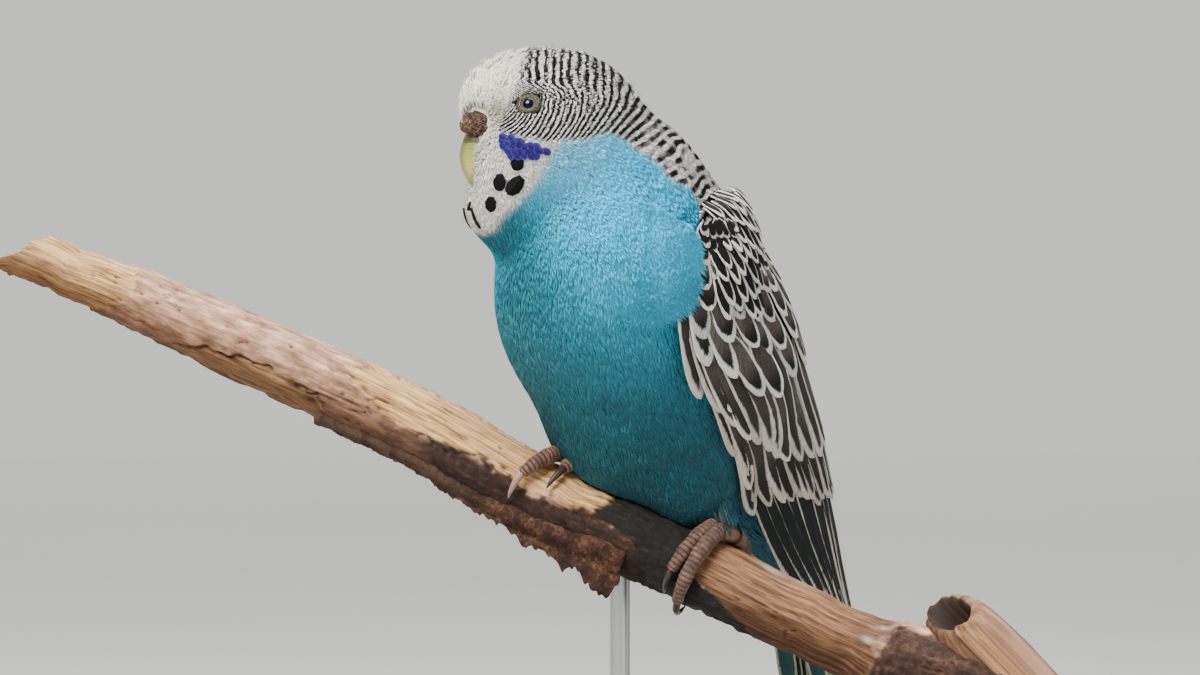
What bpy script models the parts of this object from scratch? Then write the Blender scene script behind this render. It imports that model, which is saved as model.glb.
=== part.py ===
"""A budgerigar on a cut length of branch, life size, on a plain display stand.

Working sizes are millimetres and become metres in new_mesh. The origin is the centre of the
stand's underside, X runs to the viewer's right, Y away from the viewer and Z up. Points
marked "about the perch" are measured from the branch's axis under the bird.
"""
import math

import bmesh
import bpy
import numpy as np

MM = 0.001
GAP = 0.3                    # clearance kept between pieces that touch
PERCH_HEIGHT = 112.0         # branch axis under the bird, above the floor
UP = np.array([0.0, 0.0, 1.0])

# The trunk faces 50 degrees to the viewer's left and the head 32 degrees further round.
BODY_YAW = math.radians(50)
HEAD_YAW = math.radians(82)
HEAD_CENTRE = np.array([-12.6, -4.0, 81.0])

# Surface of the trunk and the head: ellipsoids of feather outline, melted together.
# Each row is centre (forward, left, up), half sizes (forward, left, up) and forward lean.
BODY_LUMPS = {
    "nape": ((-1.5, 0, 68.0), (15.0, 15.5, 15.5), 25),
    "mantle": ((-9.5, 0, 55.5), (16.5, 18.5, 18.5), 30),
    "chest": ((0.5, 0, 46.0), (25.0, 23.5, 27.0), 25),
    "belly": ((-11.5, 0, 27.0), (25.2, 23.2, 24.5), 36),
    "vent": ((-33.0, 0, 11.0), (11.5, 12.5, 21.0), 46),
    "tail_root": ((-45.0, 0, -1.5), (6.0, 8.5, 15.0), 28),
    "left_thigh": ((-8.5, 12.8, 8.8), (8.0, 7.0, 8.8), 20),
}
HEAD_LUMPS = {
    "skull": ((-1.5, 0, 0.2), (15.2, 13.4, 14.6), 0),
    "brow": ((9.2, 0, 4.6), (9.8, 7.8, 8.8), 0),
    "cheeks": ((3.5, 0, -7.0), (11.0, 13.0, 9.5), 0),
    "mask_left": ((9.8, 5.2, -13.0), (8.2, 7.0, 10.0), -8),
    "mask_right": ((9.8, -5.2, -13.0), (8.2, 7.0, 10.0), -8),
}
MELT = 2.6                   # how softly the lumps run into each other
SPINE = ((-14, -4, 81), (4, 0, 52), (-16, 0, 22), (-46, 0, -5))
SPINE_LEAN = (math.radians(4), math.radians(46))
BODY_COLUMNS, BODY_RINGS = 26, 21


def direction(yaw):
    """Level unit vectors forward and left for a heading turned left from the viewer."""
    forward = np.array([-math.sin(yaw), -math.cos(yaw), 0.0])
    return forward, np.array([-forward[1], forward[0], 0.0])


FORWARD, LEFT = direction(BODY_YAW)
HEAD_FORWARD, HEAD_LEFT = direction(HEAD_YAW)


def body(points):
    """Body measures (forward, left, up) as places about the perch."""
    points = np.asarray(points, float)
    return points[..., :1] * FORWARD + points[..., 1:2] * LEFT + points[..., 2:] * UP


def head(points):
    """Head measures (forward, left, up of the head's centre) as places about the perch."""
    points = np.asarray(points, float)
    turned = points[..., :1] * HEAD_FORWARD + points[..., 1:2] * HEAD_LEFT + points[..., 2:] * UP
    return HEAD_CENTRE + turned


class Lump:
    """One ellipsoid with its own heading and forward lean."""

    def __init__(self, centre, half, heading, lean):
        forward, left = heading
        lean = math.radians(lean)
        up = UP * math.cos(lean) + forward * math.sin(lean)
        ahead = forward * math.cos(lean) - UP * math.sin(lean)
        self.centre, self.half = centre, np.array(half, float)
        self.axes = np.stack([ahead, left, up])

    def distance(self, points):
        q = (points - self.centre) @ self.axes.T
        near = np.linalg.norm(q / self.half, axis=-1)
        steep = np.linalg.norm(q / self.half ** 2, axis=-1)
        return near * (near - 1) / np.maximum(steep, 1e-9)


LUMPS = [Lump(body(c), r, (FORWARD, LEFT), lean) for c, r, lean in BODY_LUMPS.values()]
LUMPS += [Lump(head(c), r, (HEAD_FORWARD, HEAD_LEFT), lean) for c, r, lean in HEAD_LUMPS.values()]
SPINE_POINTS = np.vstack([[SPINE[0]], body(SPINE[1:])])


def outline(points):
    """Distance outside the melted lumps, negative inside."""
    return -MELT * np.log(sum(np.exp(-lump.distance(points) / MELT) for lump in LUMPS))


def spine(t):
    """Place on the spine and the frame there: towards the tail, the belly and the left."""
    a, b, c, d = SPINE_POINTS
    place = (1 - t) ** 3 * a + 3 * (1 - t) ** 2 * t * b + 3 * (1 - t) * t * t * c + t ** 3 * d
    lean = SPINE_LEAN[0] + (SPINE_LEAN[1] - SPINE_LEAN[0]) * t ** 0.9
    tailward = -UP * math.cos(lean) - FORWARD * math.sin(lean)
    bellyward = FORWARD - tailward * (FORWARD @ tailward)
    bellyward /= np.linalg.norm(bellyward)
    return place, tailward, bellyward, np.cross(-tailward, bellyward)


def reach(places, rays, offset, farthest=45.0):
    """Run out along rays to where the outline has the given offset."""
    low, high = np.zeros(places.shape[:-1]), np.full(places.shape[:-1], farthest)
    for _ in range(24):
        middle = (low + high) / 2
        inside = outline(places + rays * middle[..., None]) < offset
        low, high = np.where(inside, middle, low), np.where(inside, high, middle)
    return places + rays * ((low + high) / 2)[..., None]


def body_surface(offset=0.0, columns=BODY_COLUMNS, rings=BODY_RINGS, caps=(5, 4)):
    """Rings of points over the whole bird, from the crown to the tail root."""
    stations = [(0.0, polar) for polar in np.linspace(0, math.pi / 2, caps[0] + 1)[:-1]]
    stations += [(t, math.pi / 2) for t in np.linspace(0, 1, rings)]
    stations += [(1.0, polar) for polar in np.linspace(math.pi / 2, math.pi, caps[1] + 1)[1:]]
    around = np.arange(columns) / columns * 2 * math.pi
    places, rays = [], []
    for t, polar in stations:
        place, tailward, bellyward, left = spine(t)
        side = np.cos(around)[:, None] * bellyward + np.sin(around)[:, None] * left
        places.append(np.repeat(place[None], columns, 0))
        rays.append(-tailward * math.cos(polar) + side * math.sin(polar))
    return reach(np.array(places), np.array(rays), offset)


# The perch: axis places (across, up) and radius about the perch, from the broken end
# at the viewer's left to the sawn end at the right, which comes nearer the viewer.
PERCH_AXIS = np.array([
    (-124.0, 56.0, 5.6), (-113.0, 51.0, 5.8), (-84.0, 39.5, 6.8), (-61.5, 30.0, 7.3),
    (-39.0, 19.9, 7.5), (-12.0, 5.6, 7.5), (0.0, 0.0, 7.5), (18.0, -8.3, 7.2),
    (37.5, -17.2, 6.9), (47.0, -21.6, 6.9), (53.0, -24.5, 8.4), (60.0, -26.6, 8.8),
    (72.0, -30.5, 9.4), (92.0, -43.0, 9.4)])
PERCH_YAW = math.radians(18)
PERCH_FORWARD = 2.2          # its axis passes this far before the middle of the stand
PERCH_ENDS = (-123.0, 91.0)
PERCH_SIDES, PERCH_RINGS = 16, 27


def follow(points, x):
    """Smooth curve through rows of points, x from 0 at the first row to 1 at the last."""
    points = np.asarray(points, float)
    x = np.clip(np.asarray(x, float), 0, 1) * (len(points) - 1)
    first = np.minimum(x.astype(int), len(points) - 2)
    f = (x - first)[..., None]
    padded = np.vstack([2 * points[0] - points[1], points, 2 * points[-1] - points[-2]])
    a, b, c, d = padded[first], padded[first + 1], padded[first + 2], padded[first + 3]
    return 0.5 * (2 * b + (c - a) * f + (2 * a - 5 * b + 4 * c - d) * f ** 2
                  + (3 * b - a - 3 * c + d) * f ** 3)


def perch_axis(across):
    """Axis place, plain radius and the frame along, up and towards the viewer."""
    across = np.asarray(across, float)

    def read(x):
        row = np.interp(x, PERCH_AXIS[:, 0], np.arange(len(PERCH_AXIS)))
        wave = follow(PERCH_AXIS[:, 1:], row / (len(PERCH_AXIS) - 1))
        level = -x * math.tan(PERCH_YAW) - PERCH_FORWARD
        return np.stack([x, level, wave[..., 0]], -1), wave[..., 1]

    place, radius = read(across)
    along = read(across + 1.5)[0] - read(across - 1.5)[0]
    along /= np.linalg.norm(along, axis=-1, keepdims=True)
    up = UP - along * along[..., 2:]
    up /= np.linalg.norm(up, axis=-1, keepdims=True)
    return place, radius, along, up, np.cross(along, up)


def perch_point(across, turn, height=0.0):
    """Place on the bark. The turn runs in degrees from the top over the viewer's side."""
    across, turn = np.broadcast_arrays(np.asarray(across, float), np.radians(turn))
    place, radius, _, up, side = perch_axis(across)
    ridges = 0.22 * np.sin(5 * turn + 0.035 * across) + 0.16 * np.sin(3 * turn + 0.11 * across)
    radius = radius + ridges * np.clip(np.abs(across) / 30 - 0.5, 0, 1) + height
    return place + radius[..., None] * (np.cos(turn)[..., None] * up + np.sin(turn)[..., None] * side)


# The wing's outer face, on guide curves along its leading edge, its crest and its edge
# over the back, in body measures for the left wing from the shoulder to the tip.
WING_LEADING = ((6, 21.4, 59.5), (6.8, 23.2, 44), (-1.4, 22.9, 27.5), (-12.9, 19.5, 12),
                (-25.7, 14.8, -2.5), (-39, 10.5, -14), (-56, 5.5, -25.5))
WING_CREST = ((-9, 22.0, 63.5), (-20, 19.1, 54), (-28.7, 17.6, 42.5), (-34.8, 16.6, 29),
              (-41.3, 14.7, 15), (-48.5, 10.8, -1), (-59.0, 6, -24))
WING_BACK = ((-23.4, 2.5, 66.5), (-29.3, 1.2, 57.3), (-33.9, 0.9, 46.5), (-38.2, 0.9, 34),
             (-43.9, 0.9, 20), (-51.6, 1.2, 3), (-61.0, 3.4, -23))
WING_CLEAR = 1.7             # least height of the wing's face over the trunk
WING_UNDER = 1.1             # clearance between its underside and the trunk
WING_THICKNESS = ((0.0, 8.0), (0.5, 8.0), (0.66, 2.2), (1.0, 1.1))
# The wing's core: its stations along, its low and high edge across, and how its shoulder
# end sinks towards the trunk, down to a least thickness.
CORE_ALONG = (0.0, 0.03, 0.08, 0.16, 0.24, 0.33, 0.42, 0.51, 0.62, 0.73, 0.85)
CORE_LOW, CORE_HIGH = ((0.5, 0.0), (0.85, 0.22)), ((0.55, 1.0), (0.85, 0.72))
CORE_SINK, CORE_LEAST, CORE_COLUMNS = ((0.0, 1.0), (0.03, 0.45), (0.08, 0.0)), 0.6, 9


def wing_point(side, along, across, lift=0.0):
    """Place on the wing, from the shoulder to the tip and from the leading edge to the back."""
    along, across = np.broadcast_arrays(np.asarray(along, float), np.asarray(across, float))

    def face(a, c):
        lead, crest, back = (follow(g, a) for g in (WING_LEADING, WING_CREST, WING_BACK))
        c = c[..., None]
        pull = 2 * crest - (lead + back) / 2
        return (1 - c) ** 2 * lead + 2 * (1 - c) * c * pull + c * c * back

    step = 0.004
    ahead = face(np.minimum(along + step, 1), across) - face(np.maximum(along - step, 0), across)
    over = face(along, across + step) - face(along, across - step)
    outward = np.cross(ahead, over)
    outward /= np.linalg.norm(outward, axis=-1, keepdims=True)
    place = face(along, across)
    height = outline(body(place * (1, side, 1)))
    soft = 0.4
    push = soft * np.log1p(np.exp((WING_CLEAR - height) / soft))
    place = place + outward * (push + lift)[..., None]
    return body(place * (1, side, 1)), height + push


# Feathers of a wing, tier by tier from the flight feathers up to the small coverts. Each
# row: number, then for the first and last feather the tip along and its place across at the
# tip and at the root, then length along, rise over the core and half width across.
WING_TIERS = {
    "primaries": (7, (1.0, 0.70), (0.50, 0.46), (0.03, 0.30), 0.44, 0.45, 0.11),
    "secondaries": (7, (0.59, 0.69), (0.06, 0.92), (0.03, 0.90), 0.26, 0.8, 0.085),
    "greater_coverts": (6, (0.40, 0.52), (0.08, 0.88), (0.06, 0.86), 0.20, 1.15, 0.11),
    "median_coverts": (5, (0.27, 0.35), (0.10, 0.88), (0.10, 0.88), 0.13, 1.5, 0.12),
    "small_coverts": (4, (0.16, 0.22), (0.14, 0.86), (0.14, 0.86), 0.11, 1.8, 0.14),
}
VANE_THICKNESS, VANE_TILT, VANE_SINK = 0.6, 0.22, 0.45
VANE_STATIONS = ((0.0, 0.55, 0.0), (0.4, 1.0, 0.0), (0.85, 0.8, 0.8), (1.0, 0.2, 1.0))

# The tail: root place in body measures, the hang of its axis and its feathers, the long
# middle two and then each pair: tip along, half width, level under the top, place off the middle.
TAIL_ROOT = (-45.0, 0, -1.0)
TAIL_HANG = math.radians(14)
TAIL_MIDDLE = ((94, 3.9, 0), (90, 3.9, 1))
TAIL_PAIRS = ((76, 3.3, 2, 3.6), (65, 3.3, 3, 4.3), (55, 3.2, 4, 5.1), (46, 3.1, 5, 5.9),
              (38, 3.0, 6, 6.7))
TAIL_LEVEL, TAIL_TOP = 0.85, 2.5
TAIL_START, TAIL_FAN = 12.0, (0.5, 45.0)
TAIL_BLOCK, TAIL_BLOCK_AT = (6.2, 3.0, 11.0), 9.0


def tail_point(along, aside, above):
    """Place in the tail's own measures: from the root to the tip, to the left, and above."""
    along, aside, above = np.broadcast_arrays(*(np.asarray(x, float) for x in (along, aside, above)))
    c, s = math.cos(TAIL_HANG), math.sin(TAIL_HANG)
    return body(np.stack([-along * s - above * c, aside, -along * c + above * s], -1) + TAIL_ROOT)


# Head pieces, in head measures.
EYE_AT = (7.6, 4.8)                      # forward and up of the head's centre
EYE_RADIUS, EYE_PROUD = 2.4, 0.45
LID_SHAPE, LID_THICK, LID_STEPS = (2.15, 1.85), 0.5, 14
CERE_AT, CERE_HALF = (16.2, 1.9, 0.2), (3.3, 2.7, 3.0)
NOSTRIL_RADIUS, NOSTRIL_DEPTH = 0.55, 1.6
# Upper bill: ridge and palate points (forward, up) with half width, from root to tip.
BILL_UPPER = ((18.4, -2.2, 12.0, -2.2, 3.5), (19.2, -5.0, 11.8, -4.4, 3.5),
              (19.0, -7.8, 12.4, -6.4, 3.2), (17.9, -10.4, 14.0, -8.0, 2.5),
              (16.5, -12.4, 14.9, -9.6, 1.6), (15.3, -13.7, 14.6, -12.6, 0.6))
BILL_LOWER = ((9.0, -9.0, 9.0, -13.6, 2.6), (11.8, -10.0, 11.4, -14.4, 2.5),
              (13.6, -11.6, 13.0, -14.8, 2.1), (14.3, -13.0, 13.7, -14.9, 1.2))
BILL_GAP = 0.45              # room kept for the bill in the head and the cere
# Parting of the mask feathers before the bill.
BILL_PARTING_AT, BILL_PARTING_HALF = (19.5, 0, -11.8), (6.2, 3.3, 6.6)

# Feet: place along the perch and each toe's path over it (shift along, turn in degrees).
TOE_RADII = (1.75, 1.68, 1.58, 1.46, 1.32, 1.15)
CLAW_RADII = (0.85, 0.8, 0.65, 0.45, 0.12)
CLAW_GAP = 0.45
FEET = {
    "left": {"at": 17.0, "toes": {
        "front_inner": ((-0.5, 8), (-1.3, 140), (-1.2, 188), 0.2),
        "front_outer": ((-2.0, 8), (-4.0, 96), (-4.2, 140), 1.0),
        "back_inner": ((0.5, -8), (2.2, -92), (2.2, -132), 1.0),
        "back_outer": ((1.8, -8), (5.4, -105), (5.8, -146), 1.0)}},
    "right": {"at": -14.0, "toes": {
        "front_inner": ((-1.5, 8), (-4.7, 66), (-5.0, 104), 0.8),
        "front_outer": ((1.4, 8), (1.2, 32), (0.6, 68), 1.0),
        "back_inner": ((0.0, -8), (-1.4, -96), (-1.4, -138), 1.0),
        "back_outer": ((1.8, -8), (4.2, -88), (4.4, -130), 1.0)}},
}
PAD_HALF = (2.9, 2.5, 1.9)
LEG_RADII = (2.0, 2.3, 3.0)
LEG_RISE, LEG_BACK, LEG_INWARD = 9.5, 1.0, 7.0

# Broken hollow side branch: root and rim about the perch, and its sections, each with the
# share of the length, radius and how far the section leans.
STUB_LINE = ((88.0, -30.5, -38.5), (65.5, -23.6, -15.5))
STUB_SECTIONS = ((0.02, 0.0, 0.0), (0.02, 6.0, 0.0), (0.7, 6.2, 0.0), (0.95, 5.6, 1.6),
                 (1.0, 4.8, 2.2), (0.98, 3.4, 1.8), (0.86, 2.6, 0.6), (0.78, 1.6, 0.0),
                 (0.77, 0.0, 0.0))

# Loose bark: its stretch along the perch, and how it turns under and hangs.
BARK_STRETCH = (-58.0, 4.0)
BARK_THICKNESS = 0.8
BARK_COLUMNS = 22

# Stand
BASE_RADIUS, BASE_HEIGHT, BASE_EDGE = 52.0, 12.0, 2.0
ROD_RADIUS, ROD_SINK = 2.0, 7.0


def new_collection(name):
    collection = bpy.data.collections.new(name)
    bpy.context.scene.collection.children.link(collection)
    return collection


def material(name, colour, roughness):
    made = bpy.data.materials.new(name)
    made.use_nodes = True
    shader = made.node_tree.nodes["Principled BSDF"]
    shader.inputs["Base Color"].default_value = (*colour, 1)
    shader.inputs["Roughness"].default_value = roughness
    made.diffuse_color = (*colour, 1)
    return made


def new_mesh(name, points, faces):
    """Object of a closed mesh, its points in millimetres about the perch."""
    mesh = bpy.data.meshes.new(name)
    points = (np.asarray(points, float).reshape(-1, 3) + UP * PERCH_HEIGHT) * MM
    mesh.from_pydata(points.tolist(), [], [tuple(int(i) for i in f) for f in faces])
    mesh.update()
    made = bpy.data.objects.new(name, mesh)
    PARTS.objects.link(made)
    return made


def loft(name, rings, poles=True):
    """Closed skin over rings of points. With poles the end rings are single points."""
    rings = np.asarray(rings, float)
    rows, columns = rings.shape[:2]
    faces = []
    if poles:
        points = np.vstack([rings[0, :1], rings[1:-1].reshape(-1, 3), rings[-1, :1]])
        last = len(points) - 1
        faces += [(0, 1 + (j + 1) % columns, 1 + j) for j in range(columns)]
        tail = 1 + (rows - 3) * columns
        faces += [(last, tail + j, tail + (j + 1) % columns) for j in range(columns)]
        first, bands = 1, rows - 3
    else:
        points = rings.reshape(-1, 3)
        faces += [tuple(range(columns)), tuple((rows - 1) * columns + j for j in reversed(range(columns)))]
        first, bands = 0, rows - 1
    for i in range(bands):
        a = first + i * columns
        for j in range(columns):
            k = (j + 1) % columns
            faces.append((a + j, a + k, a + columns + k, a + columns + j))
    return edit(new_mesh(name, points, faces), turn_out)


def sheet(name, outer, inner):
    """Closed plate between two like grids, split into triangles alike on both faces."""
    rows, columns = outer.shape[:2]
    count = rows * columns
    faces = []
    for i in range(rows - 1):
        for j in range(columns - 1):
            a, b = i * columns + j, i * columns + j + 1
            c, d = a + columns, b + columns
            faces += [(a, b, d), (a, d, c), (count + a, count + d, count + b),
                      (count + a, count + c, count + d)]
    rim = [j for j in range(columns)]
    rim += [i * columns + columns - 1 for i in range(1, rows)]
    rim += [(rows - 1) * columns + j for j in reversed(range(columns - 1))]
    rim += [i * columns for i in reversed(range(1, rows - 1))]
    for a, b in zip(rim, rim[1:] + rim[:1]):
        faces += [(a, count + a, count + b), (a, count + b, b)]
    points = np.vstack([outer.reshape(-1, 3), inner.reshape(-1, 3)])
    return edit(new_mesh(name, points, faces), turn_out)


def edit(target, change):
    """Run a change on an object's mesh."""
    mesh = bmesh.new()
    mesh.from_mesh(target.data)
    change(mesh)
    mesh.to_mesh(target.data)
    mesh.free()
    target.data.update()
    return target


def volume(faces):
    total = 0.0
    for face in faces:
        first = face.verts[0].co
        for a, b in zip(face.verts[1:], face.verts[2:]):
            total += first.dot(a.co.cross(b.co)) / 6
    return total


def turn_out(mesh):
    """Make a closed mesh's faces look outward."""
    bmesh.ops.recalc_face_normals(mesh, faces=mesh.faces)
    if volume(mesh.faces) < 0:
        bmesh.ops.reverse_faces(mesh, faces=mesh.faces)


def keep_largest(target):
    """Drop all but the largest closed surface of an object."""
    def change(mesh):
        bmesh.ops.remove_doubles(mesh, verts=mesh.verts, dist=2e-6)
        bmesh.ops.dissolve_degenerate(mesh, dist=2e-6, edges=mesh.edges)
        loose, groups = set(mesh.faces), []
        while loose:
            grown, edge = set(), [loose.pop()]
            while edge:
                face = edge.pop()
                grown.add(face)
                near = {f for e in face.edges for f in e.link_faces} & loose
                loose -= near
                edge += near
            groups.append(grown)
        groups.sort(key=lambda group: -abs(volume(group)))
        for group in groups[1:]:
            bmesh.ops.delete(mesh, geom=list(group), context="FACES")
        bare = [v for v in mesh.verts if not v.link_faces]
        bmesh.ops.delete(mesh, geom=bare, context="VERTS")
        bmesh.ops.triangulate(mesh, faces=mesh.faces)
    return edit(target, change)


def apply_modifiers(target):
    """Swap an object's mesh for what its modifiers make of it."""
    bpy.context.view_layer.update()
    made = bpy.data.meshes.new_from_object(target.evaluated_get(bpy.context.evaluated_depsgraph_get()))
    target.modifiers.clear()
    target.data = made


def join(name, pieces, solver="EXACT"):
    """One body from overlapping closed pieces."""
    first, group = pieces[0], new_collection(name + "_pieces")
    for piece in pieces[1:]:
        group.objects.link(piece)
    union = first.modifiers.new("Join", "BOOLEAN")
    union.operation, union.operand_type, union.solver = "UNION", "COLLECTION", solver
    union.collection = group
    apply_modifiers(first)
    for piece in pieces[1:]:
        bpy.data.objects.remove(piece)
    bpy.data.collections.remove(group)
    first.name = name
    return keep_largest(first)


def cut(target, cutters):
    """Take closed cutters out of an object, and remove them."""
    for cutter in cutters:
        cutter.hide_render, cutter.display_type = True, "WIRE"
        taken = target.modifiers.new("Cut", "BOOLEAN")
        taken.operation, taken.solver, taken.object = "DIFFERENCE", "EXACT", cutter
        apply_modifiers(target)
        bpy.data.objects.remove(cutter)
    return keep_largest(target)


def slice_off(target, place, normal):
    """Cut an object by a plane, dropping the side the normal points to."""
    place = (np.asarray(place) + UP * PERCH_HEIGHT) * MM

    def change(mesh):
        everything = mesh.verts[:] + mesh.edges[:] + mesh.faces[:]
        bmesh.ops.bisect_plane(mesh, geom=everything, plane_co=place, plane_no=normal,
                               clear_outer=True, dist=1e-7)
        rim = [e for e in mesh.edges if e.is_boundary]
        bmesh.ops.contextual_create(mesh, geom=rim)
        turn_out(mesh)
        bmesh.ops.triangulate(mesh, faces=mesh.faces)
    return edit(target, change)


def ball(name, centre, half, axes=((1, 0, 0), (0, 1, 0), (0, 0, 1)), segments=14):
    """Ellipsoid from a UV sphere, with its half sizes along the given axes."""
    mesh = bpy.data.meshes.new(name)
    made = bpy.data.objects.new(name, mesh)
    PARTS.objects.link(made)
    axes, half = np.array(axes, float), np.array(half, float)

    def change(shape):
        bmesh.ops.create_uvsphere(shape, u_segments=segments, v_segments=segments * 2 // 3, radius=1)
        for v in shape.verts:
            place = np.asarray(centre) + (np.array(v.co) * half) @ axes
            v.co = (place + UP * PERCH_HEIGHT) * MM
        turn_out(shape)
    return edit(made, change)


def tube(name, points, radii, resolution=2):
    """Round tube along points with its own radius at each, as a closed mesh."""
    curve = bpy.data.curves.new(name, "CURVE")
    curve.dimensions, curve.bevel_depth = "3D", MM
    curve.bevel_resolution, curve.use_fill_caps = resolution, True
    spline = curve.splines.new("POLY")
    spline.points.add(len(points) - 1)
    for point, place, radius in zip(spline.points, points, radii):
        point.co = (*((np.asarray(place) + UP * PERCH_HEIGHT) * MM), 1)
        point.radius = radius
    drawn = bpy.data.objects.new(name + "_curve", curve)
    PARTS.objects.link(drawn)
    bpy.context.view_layer.update()
    mesh = bpy.data.meshes.new_from_object(drawn.evaluated_get(bpy.context.evaluated_depsgraph_get()))
    made = bpy.data.objects.new(name, mesh)
    made.matrix_world = drawn.matrix_world
    PARTS.objects.link(made)
    bpy.data.objects.remove(drawn)

    def change(shape):
        bmesh.ops.remove_doubles(shape, verts=shape.verts, dist=1e-6)
        turn_out(shape)
    return edit(made, change)


def dress(target, finish):
    """Give a finished piece its material and smooth shading."""
    target.data.materials.clear()
    target.data.materials.append(finish)
    target.data.shade_smooth()
    target.data.set_sharp_from_angle(angle=math.radians(40))
    return target


# Planes that part the head from the neck and the neck from the trunk, each through a
# place about the perch, with the normal towards the crown.
HEAD_CUT = ((-30.0, 0, 59.4), (-0.480, 0, 0.877))
NECK_CUT = ((-28.0, 0, 54.0), (-0.181, 0, 0.983))


def body_length(name, above, below):
    """The stretch of the bird between two planes, left whole where one is None."""
    made = loft(name, body_surface())
    for plane, sign in ((above, 1), (below, -1)):
        if plane:
            place, normal = np.array(plane[0]), np.array(plane[1])
            slice_off(made, place - sign * normal * GAP / 2, tuple(sign * normal))
    return made


def head_side(forward, up, side):
    """Place on the side of the head, out from its middle plane."""
    middle = head((forward, 0, up))
    return reach(middle[None], (HEAD_LEFT * side)[None], 0.0)[0]


def outward(place, step=0.3):
    """Unit vector straight out of the melted lumps at a place."""
    slope = np.array([outline(place + step * axis) - outline(place - step * axis) for axis in np.eye(3)])
    return slope / np.linalg.norm(slope)


def cere_piece(name, side, clear):
    forward, aside, up = CERE_AT
    half = np.array(CERE_HALF) + clear
    return ball(name, head((forward, side * aside, up)), half, (HEAD_FORWARD, HEAD_LEFT, UP), 10)


def bill_piece(name, stations, clear, sides=10):
    """Horny bill lofted over sections, each a half round ridge over a flatter palate."""
    rings = []
    turn = np.arange(sides) / sides * 2 * math.pi
    for i, (ridge_f, ridge_u, palate_f, palate_u, wide) in enumerate(stations):
        middle = np.array([(ridge_f + palate_f) / 2, 0, (ridge_u + palate_u) / 2])
        rise = np.array([ridge_f - palate_f, 0, ridge_u - palate_u]) / 2
        deep = np.linalg.norm(rise)
        rise = rise / deep
        ring = middle + (deep + clear) * np.cos(turn)[:, None] * rise
        ring = ring + (wide + clear) * np.sin(turn)[:, None] * np.array([0.0, 1.0, 0.0])
        rings.append(ring)
    ends = []
    for end, near in ((rings[0], rings[1]), (rings[-1], rings[-2])):
        onward = end.mean(0) - near.mean(0)
        onward *= 0.12 + clear / np.linalg.norm(onward)
        ends.append(np.repeat((end.mean(0) + onward)[None], sides, 0))
    return loft(name, head(np.array([ends[0], *rings, ends[1]])))


def make_head():
    made = body_length("head", None, HEAD_CUT)
    lids, sockets = [], []
    for name, side in (("left", 1), ("right", -1)):
        rim = head_side(*EYE_AT, side)
        out = outward(rim)
        level = HEAD_FORWARD - out * (HEAD_FORWARD @ out)
        level /= np.linalg.norm(level)
        rise = np.cross(out, level) * side
        turn = np.arange(LID_STEPS) / LID_STEPS * 2 * math.pi
        long_way, high_way = level * LID_SHAPE[0], rise * LID_SHAPE[1]
        ring = rim + np.cos(turn)[:, None] * long_way + np.sin(turn)[:, None] * high_way
        lids.append(ring_tube("lid_" + name, ring, LID_THICK))
        centre = rim - out * (EYE_RADIUS - EYE_PROUD)
        axes = (level, rise, out)
        dress(ball("eye_" + name, centre, (EYE_RADIUS,) * 3, axes), FINISH["eye"])
        sockets.append(ball("socket", centre, (EYE_RADIUS + GAP,) * 3, axes))
    made = join("head", [made, *lids])
    cutters = [cere_piece("cere_room", side, GAP) for side in (1, -1)]
    cutters += [bill_piece("bill_room", stations, BILL_GAP) for stations in (BILL_UPPER, BILL_LOWER)]
    axes = (HEAD_FORWARD, HEAD_LEFT, UP)
    cutters.append(ball("parting", head(BILL_PARTING_AT), BILL_PARTING_HALF, axes))
    cut(made, sockets + cutters)
    dress(made, FINISH["white"])


def ring_tube(name, points, radius, sides=5):
    """Closed round ring through points that lie on a loop."""
    count = len(points)
    onward = np.roll(points, -1, 0) - np.roll(points, 1, 0)
    onward /= np.linalg.norm(onward, axis=1, keepdims=True)
    out = points - points.mean(0)
    out -= onward * (out * onward).sum(1, keepdims=True)
    out /= np.linalg.norm(out, axis=1, keepdims=True)
    over = np.cross(onward, out)
    turn = np.arange(sides) / sides * 2 * math.pi
    mesh_points = points[:, None] + radius * (np.cos(turn)[None, :, None] * out[:, None]
                                              + np.sin(turn)[None, :, None] * over[:, None])
    faces = []
    for i in range(count):
        for j in range(sides):
            a, b = i * sides + j, i * sides + (j + 1) % sides
            c, d = (i + 1) % count * sides + j, (i + 1) % count * sides + (j + 1) % sides
            faces.append((a, b, d, c))
    return edit(new_mesh(name, mesh_points, faces), turn_out)


def make_bill():
    cere = join("cere", [cere_piece("cere", side, 0) for side in (1, -1)])
    holes = []
    for side in (1, -1):
        forward, aside, up = CERE_AT
        mouth = head((forward + CERE_HALF[0] * 0.8, side * (aside + 0.9), up + 0.9))
        inward = -HEAD_FORWARD * 0.9 - HEAD_LEFT * side * 0.43
        line = [mouth - inward * 2, mouth + inward * NOSTRIL_DEPTH]
        holes.append(tube("nostril", line, (NOSTRIL_RADIUS,) * 2))
    cut(cere, holes + [bill_piece("bill_room", BILL_UPPER, BILL_GAP)])
    dress(cere, FINISH["cere"])
    dress(bill_piece("bill_upper", BILL_UPPER, 0), FINISH["bill"])
    lower = bill_piece("bill_lower", BILL_LOWER, 0)
    dress(cut(lower, [bill_piece("bill_room", BILL_UPPER, BILL_GAP)]), FINISH["bill"])


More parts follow.
